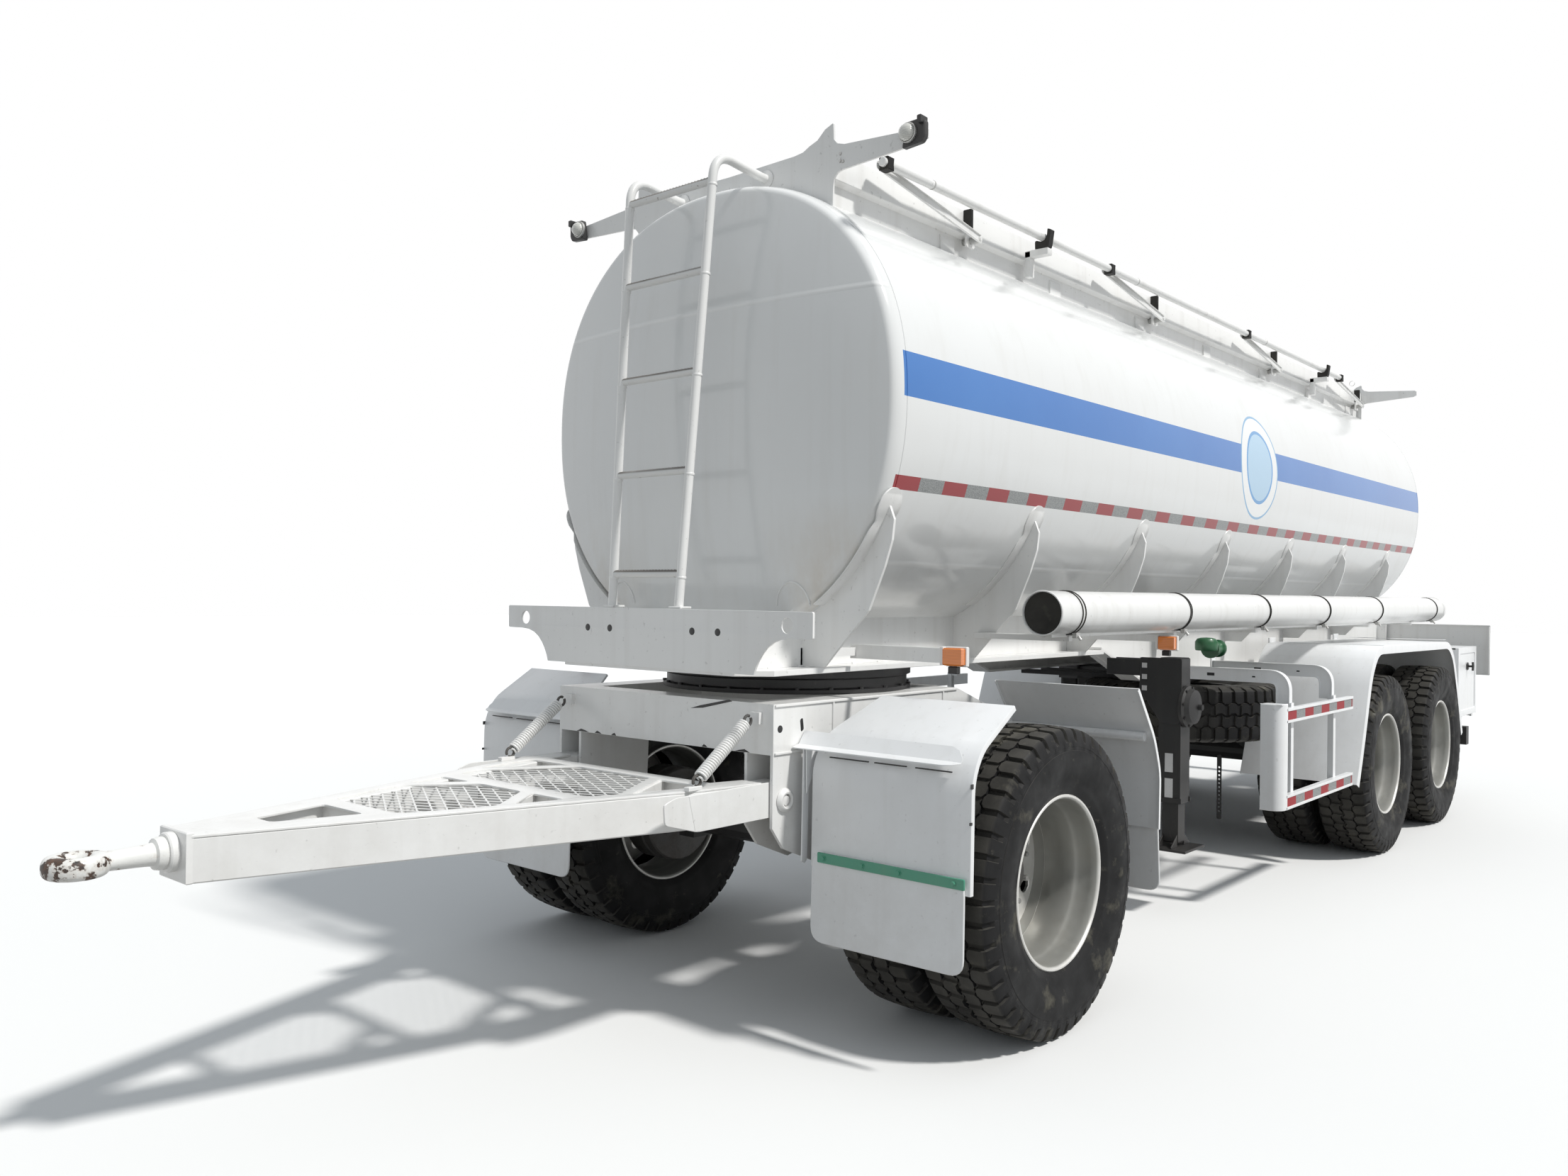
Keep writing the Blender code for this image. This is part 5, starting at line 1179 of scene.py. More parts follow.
# The black cap is painted shade, set where the dark inside of the hollow tube would show.
cap = [(0, mouth - 0.016), (0.055, mouth - 0.015), (0.0795, mouth - 0.008), (0.08, mouth - 0.012),
       (0.08, mouth - 0.07), (0, mouth - 0.07)]
dark.append(turnedShape(cap, "x", hoseLine, 48))
for x in strapPlaces:
    for shift in (-0.014, 0.01) if x > -0.6 else (-0.009, 0.006):
        ring = [(0.0845, x + shift), (0.0878, x + shift + 0.0012), (0.0888, x + shift + 0.004),
                (0.0878, x + shift + 0.0068), (0.0845, x + shift + 0.008)]
        straps.append(turnedShape(ring[::-1], "x", hoseLine, 48))
    latches.append(blockShape((x - 0.016, x + 0.018), (1.012, 1.03), (1.345, 1.366), 0.002))
    latches.append(pipeShape([(x, 1.0, 1.36), (x, 1.03, 1.352), (x, 1.04, 1.338)], 0.006, 8))
for x in gussets[1:]:
    arm = [(0.56, 1.331), (0.99, 1.331), (0.99, 1.3545), (0.56, 1.3545)]
    hoseShapes.append(plateShape(roundLoop(arm, 0.004, 3), "x", x + 0.0065, x + 0.036, 0.0012))
    hoseShapes.append(blockShape((x + 0.001, x + 0.042), (0.93, 1.01), (1.3545, 1.358), 0.0008))
hoseShapes.append(blockShape((tail + 0.05, mouth - 0.05), (0.94, 0.985), (1.3485, 1.36), 0.0015))
addSet("hoseTube", hoseShapes, whitePaint, "chassis", ("hose_tube",), 35, "white_paint")
addSet("hoseStraps", dark + straps, softRubber, "chassis")
addSet("hoseLatches", latches, zincSteel, "chassis")

# Side lamps: a lens block in a white holder at the end of its arm, one pair in front and one behind the leg.
lens, holders, feet = [], [], []
for x, y, z, root in ((0.279, 0.957, 1.298, None), (-1.492, 0.945, 1.302, 0.56)):
    lens.append(blockShape((x + 0.004, x + 0.03), (y, y + 0.074), (z - 0.03, z + 0.03), 0.005))
    holders.append(blockShape((x - 0.014, x + 0.0035), (y - 0.004, y + 0.078), (z - 0.034, z + 0.034),
                              0.003))
    holders.append(blockShape((x - 0.006, x + 0.022), (y - 0.016, y - 0.0045), (z - 0.03, z + 0.033), 0.002))
    if root:
        holders.append(blockShape((x - 0.026, x - 0.014), (root, y + 0.01), (z + 0.004, z + 0.036), 0.002))
    feet.append(blockShape((x - 0.01, x + 0.01), (y + 0.01, y + 0.045), (z - 0.058, z - 0.034), 0.002))
addPair("sideLenses", lens, orangeLens, "chassis")
addPair("lampHolders", holders, whitePaint, "chassis")
addPair("lampFeet", feet, blackPaint, "chassis")
print("tank and hose tube made")

# Top frame: wing plates, coamings folded in over a set-back foot, handrail rests and pivot blocks.
top = {"wingFront": 0.37, "wingRear": -6.17, "coaming": 0.515, "crest": 3.1, "pivotZ": 2.98, "tipRise": 0.11,
       "reach": 0.7, "posts": (-0.54, -2.37, -4.2, -6.03), "rests": (-1.02, -4.96), "railY": 0.596}


def wingShape(x, reach, horn):
    edge = top["coaming"]
    half = [(edge, 2.79), (edge, 2.992), (edge + 0.018, 3.012), (edge + 0.04, 3.018), (reach - 0.02, 3.036),
            (reach, 3.046), (reach, 3.074), (reach - 0.012, 3.083), (edge + 0.05, 3.108),
            (edge + 0.018, 3.118), (edge + 0.003, 3.135), (edge, horn - 0.004), (edge - 0.004, horn)]
    crest = [(edge - 0.04, horn - 0.014), (edge - 0.075, horn - 0.045), (0.405, 3.138), (0.372, 3.122),
             (0.33, 3.117), (0, 3.112)]
    right = half + crest
    outline = right + [(-y, z) for y, z in reversed(right[:-1])]
    return plateShape(outline, "x", x - 0.005, x + 0.005, 0.0012)


topShapes = [wingShape(top["wingFront"], 0.92, 3.195), wingShape(top["wingRear"], 0.9, 3.16)]
edge, crest = top["coaming"], top["crest"]
# Coaming section: set-back foot, a sharp fold outwards, the leaning upper sheet and a small rolled top.
section = [(edge - 0.031, 2.8), (edge - 0.031, 2.988), (edge - 0.002, 2.996), (edge, 2.9985),
           (edge - 0.0035, crest - 0.006), (edge - 0.006, crest - 0.001), (edge - 0.01, crest),
           (edge - 0.023, crest), (edge - 0.023, crest - 0.0035), (edge - 0.0085, crest - 0.0045),
           (edge - 0.005, 3.0015), (edge - 0.0345, 2.9925), (edge - 0.035, 2.8)]
xs = [top["wingRear"] + 0.006, -4.6, -3.0, -1.4, top["wingFront"] - 0.006]
topShapes.append(bothSides(sectionAlong(section, xs)))
# Seats of the coaming: short feet under the fold, welded to the shell.
for x in np.arange(-5.9, 0.3, 0.915):
    foot = [(edge - 0.034, 2.8), (edge - 0.024, 2.8), (edge - 0.024, 2.96), (edge - 0.029, 2.975),
            (edge - 0.034, 2.975)]
    topShapes.append(bothSides(sectionAlong(foot, [x - 0.05, x + 0.05])))
rubber, pivots = [], []
for x in top["posts"]:
    pivots.append(turnedShape([(0, edge - 0.03), (0.015, edge - 0.03), (0.015, 0.5595), (0, 0.5595)][::-1],
                              "y", (x, 0, top["pivotZ"]), 20))
    plate = [(x - 0.034, 2.96), (x - 0.026, 2.952), (x + 0.026, 2.952), (x + 0.034, 2.96),
             (x + 0.034, 3.012), (x - 0.034, 3.012)]
    topShapes.append(plateShape(plate, "y", edge - 0.005, edge + 0.004, 0.001))
    # White half disc with a black stop strip behind each pivot.
    t = np.linspace(math.pi / 2, math.pi * 1.5, 12)
    disc = [(x + 0.03 + 0.045 * math.cos(s), 3.055 + 0.042 * math.sin(s)) for s in t]
    topShapes.append(plateShape(disc, "y", edge - 0.004, edge + 0.006, 0.001))
    rubber.append(blockShape((x + 0.03, x + 0.046), (edge - 0.004, edge + 0.034), (3.012, 3.099), 0.003))
for x in top["rests"]:
    outline = [(edge - 0.006, 3.0105), (0.626, 3.0105), (0.626, 3.0405), (edge - 0.006, 3.0405)]
    topShapes.append(plateShape(roundLoop(outline, 0.005, 3), "x", x - 0.02, x + 0.02, 0.0015))
    topShapes.append(blockShape((x - 0.02, x + 0.02), (edge - 0.0055, edge + 0.0225), (2.925, 3.038), 0.002))
    pad = [(0.561, 3.041), (0.624, 3.041), (0.629, 3.056), (0.638, 3.118), (0.6215, 3.124), (0.6185, 3.092),
           (0.61, 3.076), (0.596, 3.0705), (0.58, 3.074), (0.569, 3.079), (0.56, 3.076)]
    rubber.append(plateShape(roundLoop(pad, 0.004, 3), "x", x - 0.019, x + 0.019, 0.002))
addSet("topFrame", topShapes, whitePaint, "chassis", ("top_frame",), 32, "white_paint")
addSet("topPivots", pivots, zincSteel, "chassis")
addSet("topRubbers", rubber, softRubber, "chassis")

# Position lamps at the front wing's tips: a black bracket, a chrome ring and a clear dome.
holders, domes, rings = [], [], []
lampY, lampZ = 0.868, 3.066
front = top["wingFront"] + 0.0055
holder = [(lampY - 0.036, lampZ - 0.046), (lampY + 0.046, lampZ - 0.04), (lampY + 0.058, lampZ - 0.022),
          (lampY + 0.058, lampZ + 0.03), (lampY + 0.04, lampZ + 0.042), (lampY - 0.022, lampZ + 0.04)]
holders.append(plateShape(roundLoop(holder, 0.008, 4), "x", front, front + 0.026, 0.004))
holders.append(blockShape((front, front + 0.04), (lampY + 0.036, lampY + 0.052),
                          (lampZ + 0.02, lampZ + 0.048), 0.003))
dome = [(0, front + 0.0262), (0.0285, front + 0.0262), (0.03, front + 0.03), (0.0285, front + 0.042),
        (0.022, front + 0.053), (0.012, front + 0.059), (0, front + 0.061)]
domes.append(turnedShape(dome, "x", (0, lampY - 0.008, lampZ), 28))
ring = [(0.0302, front + 0.0262), (0.0345, front + 0.0262), (0.0345, front + 0.0345),
        (0.0325, front + 0.0365), (0.0302, front + 0.0355)]
rings.append(turnedShape(ring, "x", (0, lampY - 0.008, lampZ), 28))
for y, z in ((0.548, 3.076), (0.56, 3.046), (0.548, 3.05)):
    rings.append(turnedShape([(0, front), (0.0065, front), (0.005, front + 0.004), (0, front + 0.0045)], "x",
                             (0, y, z), 6))
addPair("wingBrackets", holders, blackPaint, "chassis")
addPair("wingDomes", domes, clearLens, "chassis")
addPair("wingRings", rings, zincSteel, "chassis")

# Handrail: a smooth tube with caps, carried by four channel posts on rubber blocks.
barZ = top["pivotZ"] + top["tipRise"]
barEnds = (top["posts"][-1] + top["reach"] - 0.04, top["posts"][0] + top["reach"] + 0.03)
tubeProfile = [(0, barEnds[0]), (0.015, barEnds[0]), (0.0175, barEnds[0] + 0.003)]
tubeProfile += [(0.0175, x) for x in np.linspace(barEnds[0] + 0.4, barEnds[1] - 0.4, 8)]
tubeProfile += [(0.0175, barEnds[1] - 0.003), (0.015, barEnds[1]), (0, barEnds[1])]
bar = turnedShape(tubeProfile, "x", (0, top["railY"], barZ), 24)
addPiece("handrailTube", fromAxle(bar), whitePaint, "handrail_bar", ("handrail_bar",), 35, "white_paint")
clamps, ends = [], []
for index, x in enumerate(top["posts"]):
    tip = (x + top["reach"], barZ)
    along = np.array([top["reach"], top["tipRise"]]) / math.hypot(top["reach"], top["tipRise"])
    across = np.array([-along[1], along[0]])
    base = np.array([x, top["pivotZ"]])
    far = np.array(tip)
    shapes = []
    channel = ((-0.017, 0.017, 0.017, (0.5605, 0.564)), (-0.017, -0.0135, 0, (0.564, 0.57)),
               (0.0135, 0.017, 0, (0.564, 0.57)))
    for low, high, over, y in channel:
        corners = [base - along * over + across * low, far + along * over + across * low,
                   far + along * over + across * high, base - along * over + across * high]
        reach = 0.016 if y[1] < 0.566 else 0.0004
        shapes.append(plateShape(roundLoop(corners, reach, 6), "y", y[0], y[1], 0.0006))
    for place in (base, far):
        bolt = [(0, 0.564), (0.0115, 0.564), (0.0115, 0.5665), (0.008, 0.5668), (0.0078, 0.571), (0, 0.5712)]
        shapes.append(turnedShape(bolt[::-1], "y", (place[0], 0, place[1]), 6 if place is base else 20))
    addSet(f"handrailPost_{index + 1}", shapes, whitePaint, f"handrail_post_{index + 1}",
           (f"handrail_post_{index + 1}",), 32, "white_paint")
    block = [(tip[0] - 0.02, barZ - 0.027), (tip[0] + 0.02, barZ - 0.027), (tip[0] + 0.017, barZ - 0.006),
             (tip[0] + 0.02, barZ + 0.02), (tip[0] - 0.02, barZ + 0.02), (tip[0] - 0.017, barZ - 0.006)]
    clamps.append(plateShape(block, "y", 0.5722, 0.617, 0.003))
    ends.append(turnedShape([(0.0176, tip[0] - 0.3), (0.0186, tip[0] - 0.299), (0.0186, tip[0] - 0.292),
                             (0.0176, tip[0] - 0.291)][::-1], "x", (0, top["railY"], barZ), 20))
addSet("handrailClamps", clamps, softRubber, "handrail_bar")
addSet("handrailBeads", ends, zincSteel, "handrail_bar")
print("top frame and handrail made")

# Ladder: two stiles that lean back over the head and bend onto the wing plate, with rungs worn on top.
ladder = {"foot": 1.4483, "bend": 3.03, "rungs": (1.572, 1.939, 2.293, 2.657, 2.98), "stile": 0.0168,
          "rung": 0.014}


def stilePoint(height, side):
    share = (height - ladder["foot"]) / (ladder["bend"] - ladder["foot"])
    return np.array([0.775 - 0.115 * share, -0.015 - 0.01 * share + side * (0.175 + 0.045 * share), height])


stiles, rungs = [], []
endX = top["wingFront"] + 0.006
for side in (-1, 1):
    head = stilePoint(ladder["bend"] + 0.055, side)
    path = roundedPath([stilePoint(ladder["foot"], side), stilePoint(2.0, side), head, (endX + 0.05, head[1],
                                                                                        3.062),
                        (endX, head[1], 3.06)], 0.095, 12)
    stiles.append(pipeShape(path, ladder["stile"], 20))
    foot = stilePoint(ladder["foot"], side)
    stiles.append(blockShape((0.742, 0.796), (foot[1] - 0.03, foot[1] + 0.03), (1.4484, 1.456), 0.0015))
    stiles.append(turnedShape([(0, endX - 0.0005), (0.034, endX - 0.0005), (0.034, endX + 0.003),
                               (0.024, endX + 0.006), (0, endX + 0.01)], "x", (0, head[1], 3.06), 24))
    for z in ladder["rungs"]:
        spot = stilePoint(z, side)
        stiles.append(turnedShape([(0.0172, z - 0.02), (0.0185, z - 0.018), (0.0185, z - 0.012),
                                   (0.0172, z - 0.01)][::-1], "z", (spot[0], spot[1], 0), 20))
for z in ladder["rungs"]:
    left, right = stilePoint(z, 1), stilePoint(z, -1)
    rungs.append(pipeShape([left, (left + right) / 2, right], ladder["rung"], 16))
    middle = (left + right) / 2
    for y in np.arange(right[1] + 0.03, left[1] - 0.02, 0.016):
        rungs.append(blockShape((middle[0] - 0.006, middle[0] + 0.006), (y, y + 0.007),
                                (z + 0.012, z + 0.0148), 0.0008))
addSet("ladderStiles", stiles, whitePaint, "chassis", ("ladder",), 40, "white_paint")


def rungMaterial():
    material, tree = startMaterial("rungPaint")
    marks = useGroup(tree, weather, Height=0.1)
    up = partsOf(tree, addNode(tree, "ShaderNodeNewGeometry").outputs["Normal"])["Z"]
    grime = timesOf(tree, rampOf(tree, up, 0.15, 0.55), rampOf(tree, marks["Cloud"], 0.3, 0.52, 0.55, 1.0))
    base = mixColor(tree, grime, (0.78, 0.78, 0.77), (0.17, 0.155, 0.14))
    base = mixColor(tree, timesOf(tree, marks["Speck"], 0.6), base, (0.1, 0.07, 0.05))
    return setShader(material, Base_Color=base, Roughness=rampOf(tree, grime, 0.0, 1.0, 0.35, 0.7))


addSet("ladderRungs", rungs, rungMaterial(), "chassis", (), 40)
print("ladder made")


# Dolly face: black patches of painted shade for holes and slots, the boss on the beam, and the marks where
# paint was chipped off its lower edge.
def discAt(x, y, z, radius, depth, axis="y"):
    profile = [(0, -depth), (radius, -depth), (radius, depth * 0.4), (radius - 0.001, depth), (0, depth)]
    place = {"x": (0, y, z), "y": (x, 0, z), "z": (x, y, 0)}[axis]
    start = {"x": x, "y": y, "z": z}[axis]
    return turnedShape([(r, start + h) for r, h in reversed(profile)], axis, place, 24)


dark, boss = [], []
# A black disc and a black plate flush on the beam are painted shade where a hole and a slot are.
dark.append(discAt(0.684, 0.5605, 1.05, 0.0125, 0.0007))
dark.append(plateShape(roundLoop([(0.56, 1.04), (0.575, 1.032), (0.58, 1.075), (0.566, 1.08)], 0.006, 4),
                       "y", 0.5598, 0.561, 0.0003))
for y, wide in ((-0.42, 0.035), (-0.33, 0.02), (0.24, 0.014)):
    smudge = [(y - wide, 0.964), (y - wide * 0.3, 0.974), (y + wide * 0.4, 0.97), (y + wide, 0.964)]
    dark.append(plateShape(smudge, "x", 0.7178, 0.7188, 0.0003))
ring = [(0.02, 0.56), (0.04, 0.56), (0.041, 0.563), (0.036, 0.572), (0.028, 0.576), (0.022, 0.574),
        (0.02, 0.566)]
boss.append(turnedOn(ring, 0, (0.658, 0, 0.809), 28))
pin = [(0, 0.56), (0.019, 0.56), (0.019, 0.568), (0.012, 0.57), (0, 0.57)]
boss.append(turnedOn(pin, 0, (0.658, 0, 0.809), 6))
# Stiffening flange round the opening of the beam's side and the gusset at the axle hanger.
for z in (1.128, 0.968):
    boss.append(blockShape((-0.4, 0.712), (0.5602, 0.566), (z - 0.004, z + 0.004), 0.0012))
for x in (-0.3, 0.06, 0.4):
    boss.append(blockShape((x - 0.004, x + 0.004), (0.5602, 0.565), (0.972, 1.124), 0.001))
for x, z in ((-0.53, 0.755), (0.46, 0.755)):
    boss.append(turnedOn([(0, 0.5586), (0.03, 0.5586), (0.03, 0.561), (0.02, 0.564), (0.02, 0.573),
                          (0, 0.574)], 0, (x, 0, z), 6))
# The slit is a black plate flush on the face, painted shade of a slot.
slit = [(0.168, 1.0955), (0.215, 1.1085), (0.355, 1.1375), (0.372, 1.133), (0.23, 1.101)]
dark = [bothSides(joinShapes(dark)), plateShape(slit, "x", 0.7178, 0.719, 0.0003)]
addSet("dollyHoleShadeAndChips", dark, blackPaint, "dolly")
addPair("dollyBosses", boss, frameWhite, "dolly")

# Turntable: two rolled rings with a dark gap, bolts round the flange and grease nipples.
ring = [(0.41, 1.1343), (0.5, 1.1343), (0.503, 1.137), (0.503, 1.15), (0.492, 1.153), (0.488, 1.156),
        (0.488, 1.186), (0.494, 1.19), (0.503, 1.193), (0.503, 1.2215), (0.5, 1.2247), (0.41, 1.2247)]
turnShapes = [turnedShape(ring, "z", (0, 0, 0), 96)]
for spot in around(24, 0.497):
    turnShapes.append(turnedShape([(0, 1.15), (0.0085, 1.15), (0.0085, 1.158), (0, 1.1585)], "z", (*spot, 0),
                                  6))
addSet("turntableRings", turnShapes, blackPaint, "dolly", ("turntable_ring",), 35, "black_paint")


# Landing leg: outer and inner box tubes, ribbed foot, gearbox dome and blank plates.
def legShapes():
    x, y = -1.9, 0.84
    black, labels = [], []
    for low, high, half, chamfer in ((0.52, 1.218, 0.0545, 0.006), (0.33, 0.53, 0.04, 0.005)):
        black.append(blockShape((x - half, x + half), (y - half, y + half), (low, high), chamfer))
    black.append(blockShape((x - 0.118, x + 0.118), (y - 0.108, y + 0.108), (0.3005, 0.3125), 0.003))
    for side in (-1, 1):
        rib = [(x + side * 0.04, 0.3125), (x + side * 0.108, 0.3125), (x + side * 0.108, 0.32),
               (x + side * 0.04, 0.37)]
        for where in (-0.034, 0.034):
            black.append(plateShape(rib, "y", y + where - 0.003, y + where + 0.003, 0.001))
        black.append(blockShape((x + side * 0.0545 - 0.004, x + side * 0.0545 + 0.004), (y - 0.06, y + 0.06),
                                (0.522, 0.548), 0.002))
    plate = [(y - 0.15, 1.216), (y + 0.062, 1.216), (y + 0.062, 0.93), (y + 0.04, 0.9), (y - 0.04, 0.9),
             (y - 0.15, 1.06)]
    black.append(plateShape(roundLoop(plate, 0.01, 3), "x", x + 0.0545, x + 0.0625, 0.0015))
    brace = [(0.5155, 1.205), (y - 0.045, 1.205), (y - 0.045, 1.125), (0.5155, 1.125)]
    for side in (-1, 1):
        black.append(plateShape(brace, "x", x + side * 0.052 - 0.006, x + side * 0.052 + 0.006, 0.0015))
    # Round gearbox with a bolted lid on the outer side of the leg, and the end of its shaft.
    box = [(0, 0), (0.095, 0), (0.1, 0.004), (0.1, 0.02), (0.088, 0.028), (0.08, 0.05), (0.05, 0.062),
           (0, 0.066)]
    black.append(turnedOn([(r, y + 0.0545 + h) for r, h in box], 0, (x, 0, 0.985), 36))
    for angle in np.arange(8) * math.pi / 4 + 0.2:
        spot = (x + 0.091 * math.cos(angle), 0, 0.985 + 0.091 * math.sin(angle))
        black.append(turnedShape([(0, y + 0.078), (0.007, y + 0.078), (0.007, y + 0.086),
                                  (0, y + 0.0865)][::-1], "y", spot, 6))
    black.append(pipeShape([(x, y + 0.11, 0.985), (x, y + 0.125, 0.985), (x, y + 0.14, 0.985)], 0.014, 16))
    for low, high in ((0.7, 0.79), (0.56, 0.67)):
        labels.append(blockShape((x + 0.0546, x + 0.0553), (y - 0.022, y + 0.018), (low - 0.03, high - 0.03),
                                 0.0002))
    for z in (1.165, 1.11, 1.055):
        labels.append(blockShape((x + 0.0626, x + 0.0634), (y - 0.138, y - 0.112), (z, z + 0.024), 0.0002))
    return joinShapes(black), joinShapes(labels)


legMesh, labelMesh = legShapes()
for side, word in hands:
    addPiece(f"landingLeg_{word}", fromAxle(movedShape(legMesh, mirrorY=side < 0)), blackPaint, "chassis",
             (f"landing_leg_{word}",), 35, "black_paint")
addPiece("legPlates", fromAxle(bothSides(labelMesh)), lidAluminium, "chassis")

# Spare wheel lying flat: the same tyre and a rim, turned so that its axle stands upright.
def laidFlat(shape, centre):
    points, polygons = shape
    turned = np.stack([points[:, 0], -points[:, 2], points[:, 1]], axis=1)
    return turned + np.asarray(centre), polygons


spare = (-2.82, 0.49, 0.9)
addPiece("spareTread", fromAxle(laidFlat(tyreMesh, spare)), tyreRubber, "chassis", ("spare_tyre",), 28,
         "tyre")
spareRim = joinShapes([rimRing(1, 0), discShape(0.11, 0.268, -0.01, 0.004, 10, 0.027)])
addPiece("spareRim", fromAxle(laidFlat(spareRim, spare)), rimSilver, "chassis")

# Small things: T-handle of the toolbox, green valve, slotted strap, rear lamps and the board they sit on.
handle = [pipeShape([(-6.48, 1.192, 1.017), (-6.48, 1.214, 1.017), (-6.48, 1.228, 1.017)], 0.008, 12),
          pipeShape([(-6.48, 1.226, 0.985), (-6.48, 1.228, 1.017), (-6.48, 1.226, 1.049)], 0.0075, 12),
          turnedShape([(0, 1.1921), (0.03, 1.1921), (0.03, 1.1945), (0.022, 1.1985), (0, 1.1985)][::-1], "y",
                      (-6.48, 0, 1.017), 24)]
addSet("toolboxHandle", handle, blackPaint, "toolbox_door")
cap = [(0, 1.215), (0.058, 1.215), (0.062, 1.225), (0.062, 1.262), (0.05, 1.28), (0.03, 1.286), (0, 1.288)]
valve = [turnedShape(cap, "z", (-2.88, 0.61, 0), 24)]
body = [(0, -3.06), (0.044, -3.06), (0.05, -3.052), (0.05, -3.036), (0.04, -3.028), (0.04, -2.96),
        (0.052, -2.952), (0.052, -2.93), (0, -2.93)]
valve.append(turnedShape(body[::-1], "x", (0, 0.61, 1.222), 24))
addSet("greenValve", valve, valveGreen, "chassis")
strap = cutPlate(roundLoop([(0.436, 0.17), (0.464, 0.17), (0.464, 0.56), (0.436, 0.56)], 0.01, 4),
                 [circleLoop(0.45, z, 0.0062, 10) for z in np.arange(0.22, 0.5, 0.024)], "x", -3.508, -3.504,
                 0.0006)
addPiece("earthStrap", fromAxle(strap), blackPaint, "chassis")
# Rear board: a folded sheet with rolled corners, set back so that its lamps stay inside the outline.
board = [(-6.98, 0.931), (-6.98, 1.3165), (-6.9775, 1.3195), (-6.951, 1.3195), (-6.951, 1.315),
         (-6.973, 1.314), (-6.9755, 1.3115), (-6.9755, 0.938), (-6.973, 0.9355), (-6.951, 0.935),
         (-6.951, 0.9305), (-6.9785, 0.9303)]
rows = [np.array([(x, y, z) for x, z in board]) for y in (-1.2495, -1.0, 0.0, 1.0, 1.2495)]
boardShapes = [gridShape(np.stack(rows, axis=1), capLow=True, capHigh=True)]
ribs = []
for y in (0.46, 1.244):
    ribs.append(blockShape((-6.9752, -6.952), (y - 0.004, y + 0.004), (0.94, 1.31), 0.001))
ribs.append(blockShape((-6.95, -6.92), (0.4, 0.51), (1.07, 1.309), 0.002))
plate = [(0.16, 1.155), (0.68, 1.155), (0.68, 1.27), (0.16, 1.27)]
boardShapes.append(bothSides(joinShapes(ribs)))
boardShapes.append(plateShape(roundLoop([(y - 0.42, z) for y, z in plate], 0.012, 4), "x", -6.9835, -6.9806,
                              0.0008))
for y in (-1.2, -0.62, 0.62, 1.2):
    for z in (0.975, 1.275):
        boardShapes.append(turnedShape([(0, -6.986), (0.009, -6.986), (0.01, -6.9806), (0, -6.9806)], "x",
                                       (0, y, z), 6))
addSet("rearBoard", boardShapes, whitePaint, "chassis", ("rear_board",), 32, "white_paint")
red, amber, plates = [], [], []
for y in (0.74, 0.9, 1.06):
    profile = [(0, -6.999), (0.046, -6.999), (0.055, -6.995), (0.06, -6.9805), (0, -6.9805)]
    target = amber if y == 0.9 else red
    target.append(turnedShape(profile, "x", (0, y, 1.165), 28))
    plates.append(turnedShape([(0.0612, -6.99), (0.068, -6.988), (0.069, -6.9806), (0.0612, -6.9806)], "x",
                              (0, y, 1.165), 28))
addPair("rearRed", red, redLens, "chassis")
addPair("rearAmber", amber, orangeLens, "chassis")
addPair("rearRings", plates, blackPaint, "chassis")
print("undercarriage details made")


# Front plate: one sheet with open round holes and square ears, over the base plate and its cross members.
def frontShape():
    half = [(0.54, 1.235), (0.548, 1.258), (0.56, 1.282), (0.577, 1.306), (0.599, 1.328), (0.627, 1.345),
            (0.66, 1.355), (0.7, 1.359), (0.786, 1.36), (0.791, 1.364), (0.7915, 1.443), (0.788, 1.4475)]
    outline = half + [(-y, z) for y, z in reversed(half)]
    holes = [circleLoop(y, 1.401, 0.026, 32) for y in (-0.682, 0.682)]
    shapes = [cutPlate(outline, holes, "x", 0.788, 0.798, 0.001)]
    base = [(-1.76, -0.54), (0.693, -0.54), (0.793, -0.44), (0.793, 0.44), (0.693, 0.54), (-1.76, 0.54)]
    shapes.append(plateShape(base, "z", 1.225, 1.245, 0.0015))
    for x in (0.4, -0.6, -1.6):
        shapes.append(blockShape((x - 0.04, x + 0.04), (-0.442, 0.442), (1.235, 1.315), 0.004))
    # Weld beads along the rails' feet.
    for x in np.arange(-0.4, 0.65, 0.16):
        for side in (-1, 1):
            y = side * 0.4435
            shapes.append(pipeShape([(x, y, 1.2455), (x + 0.03, y, 1.247), (x + 0.06, y, 1.2455)], 0.004, 8))
    return joinShapes(shapes)


# Black discs flush on the front plate are painted shade where holes are.
marks = []
for y, z in ((-0.302, 1.3715), (-0.178, 1.3715), (0.251, 1.3715), (0.374, 1.3715)):
    marks.append(discAt(0.7982, y, z, 0.013, 0.0008, "x"))
addPiece("frontPlate", fromAxle(frontShape()), frameWhite, "chassis", ("frame_front",), 35, "white_paint")
addSet("frontHoleShade", marks, blackPaint, "chassis")

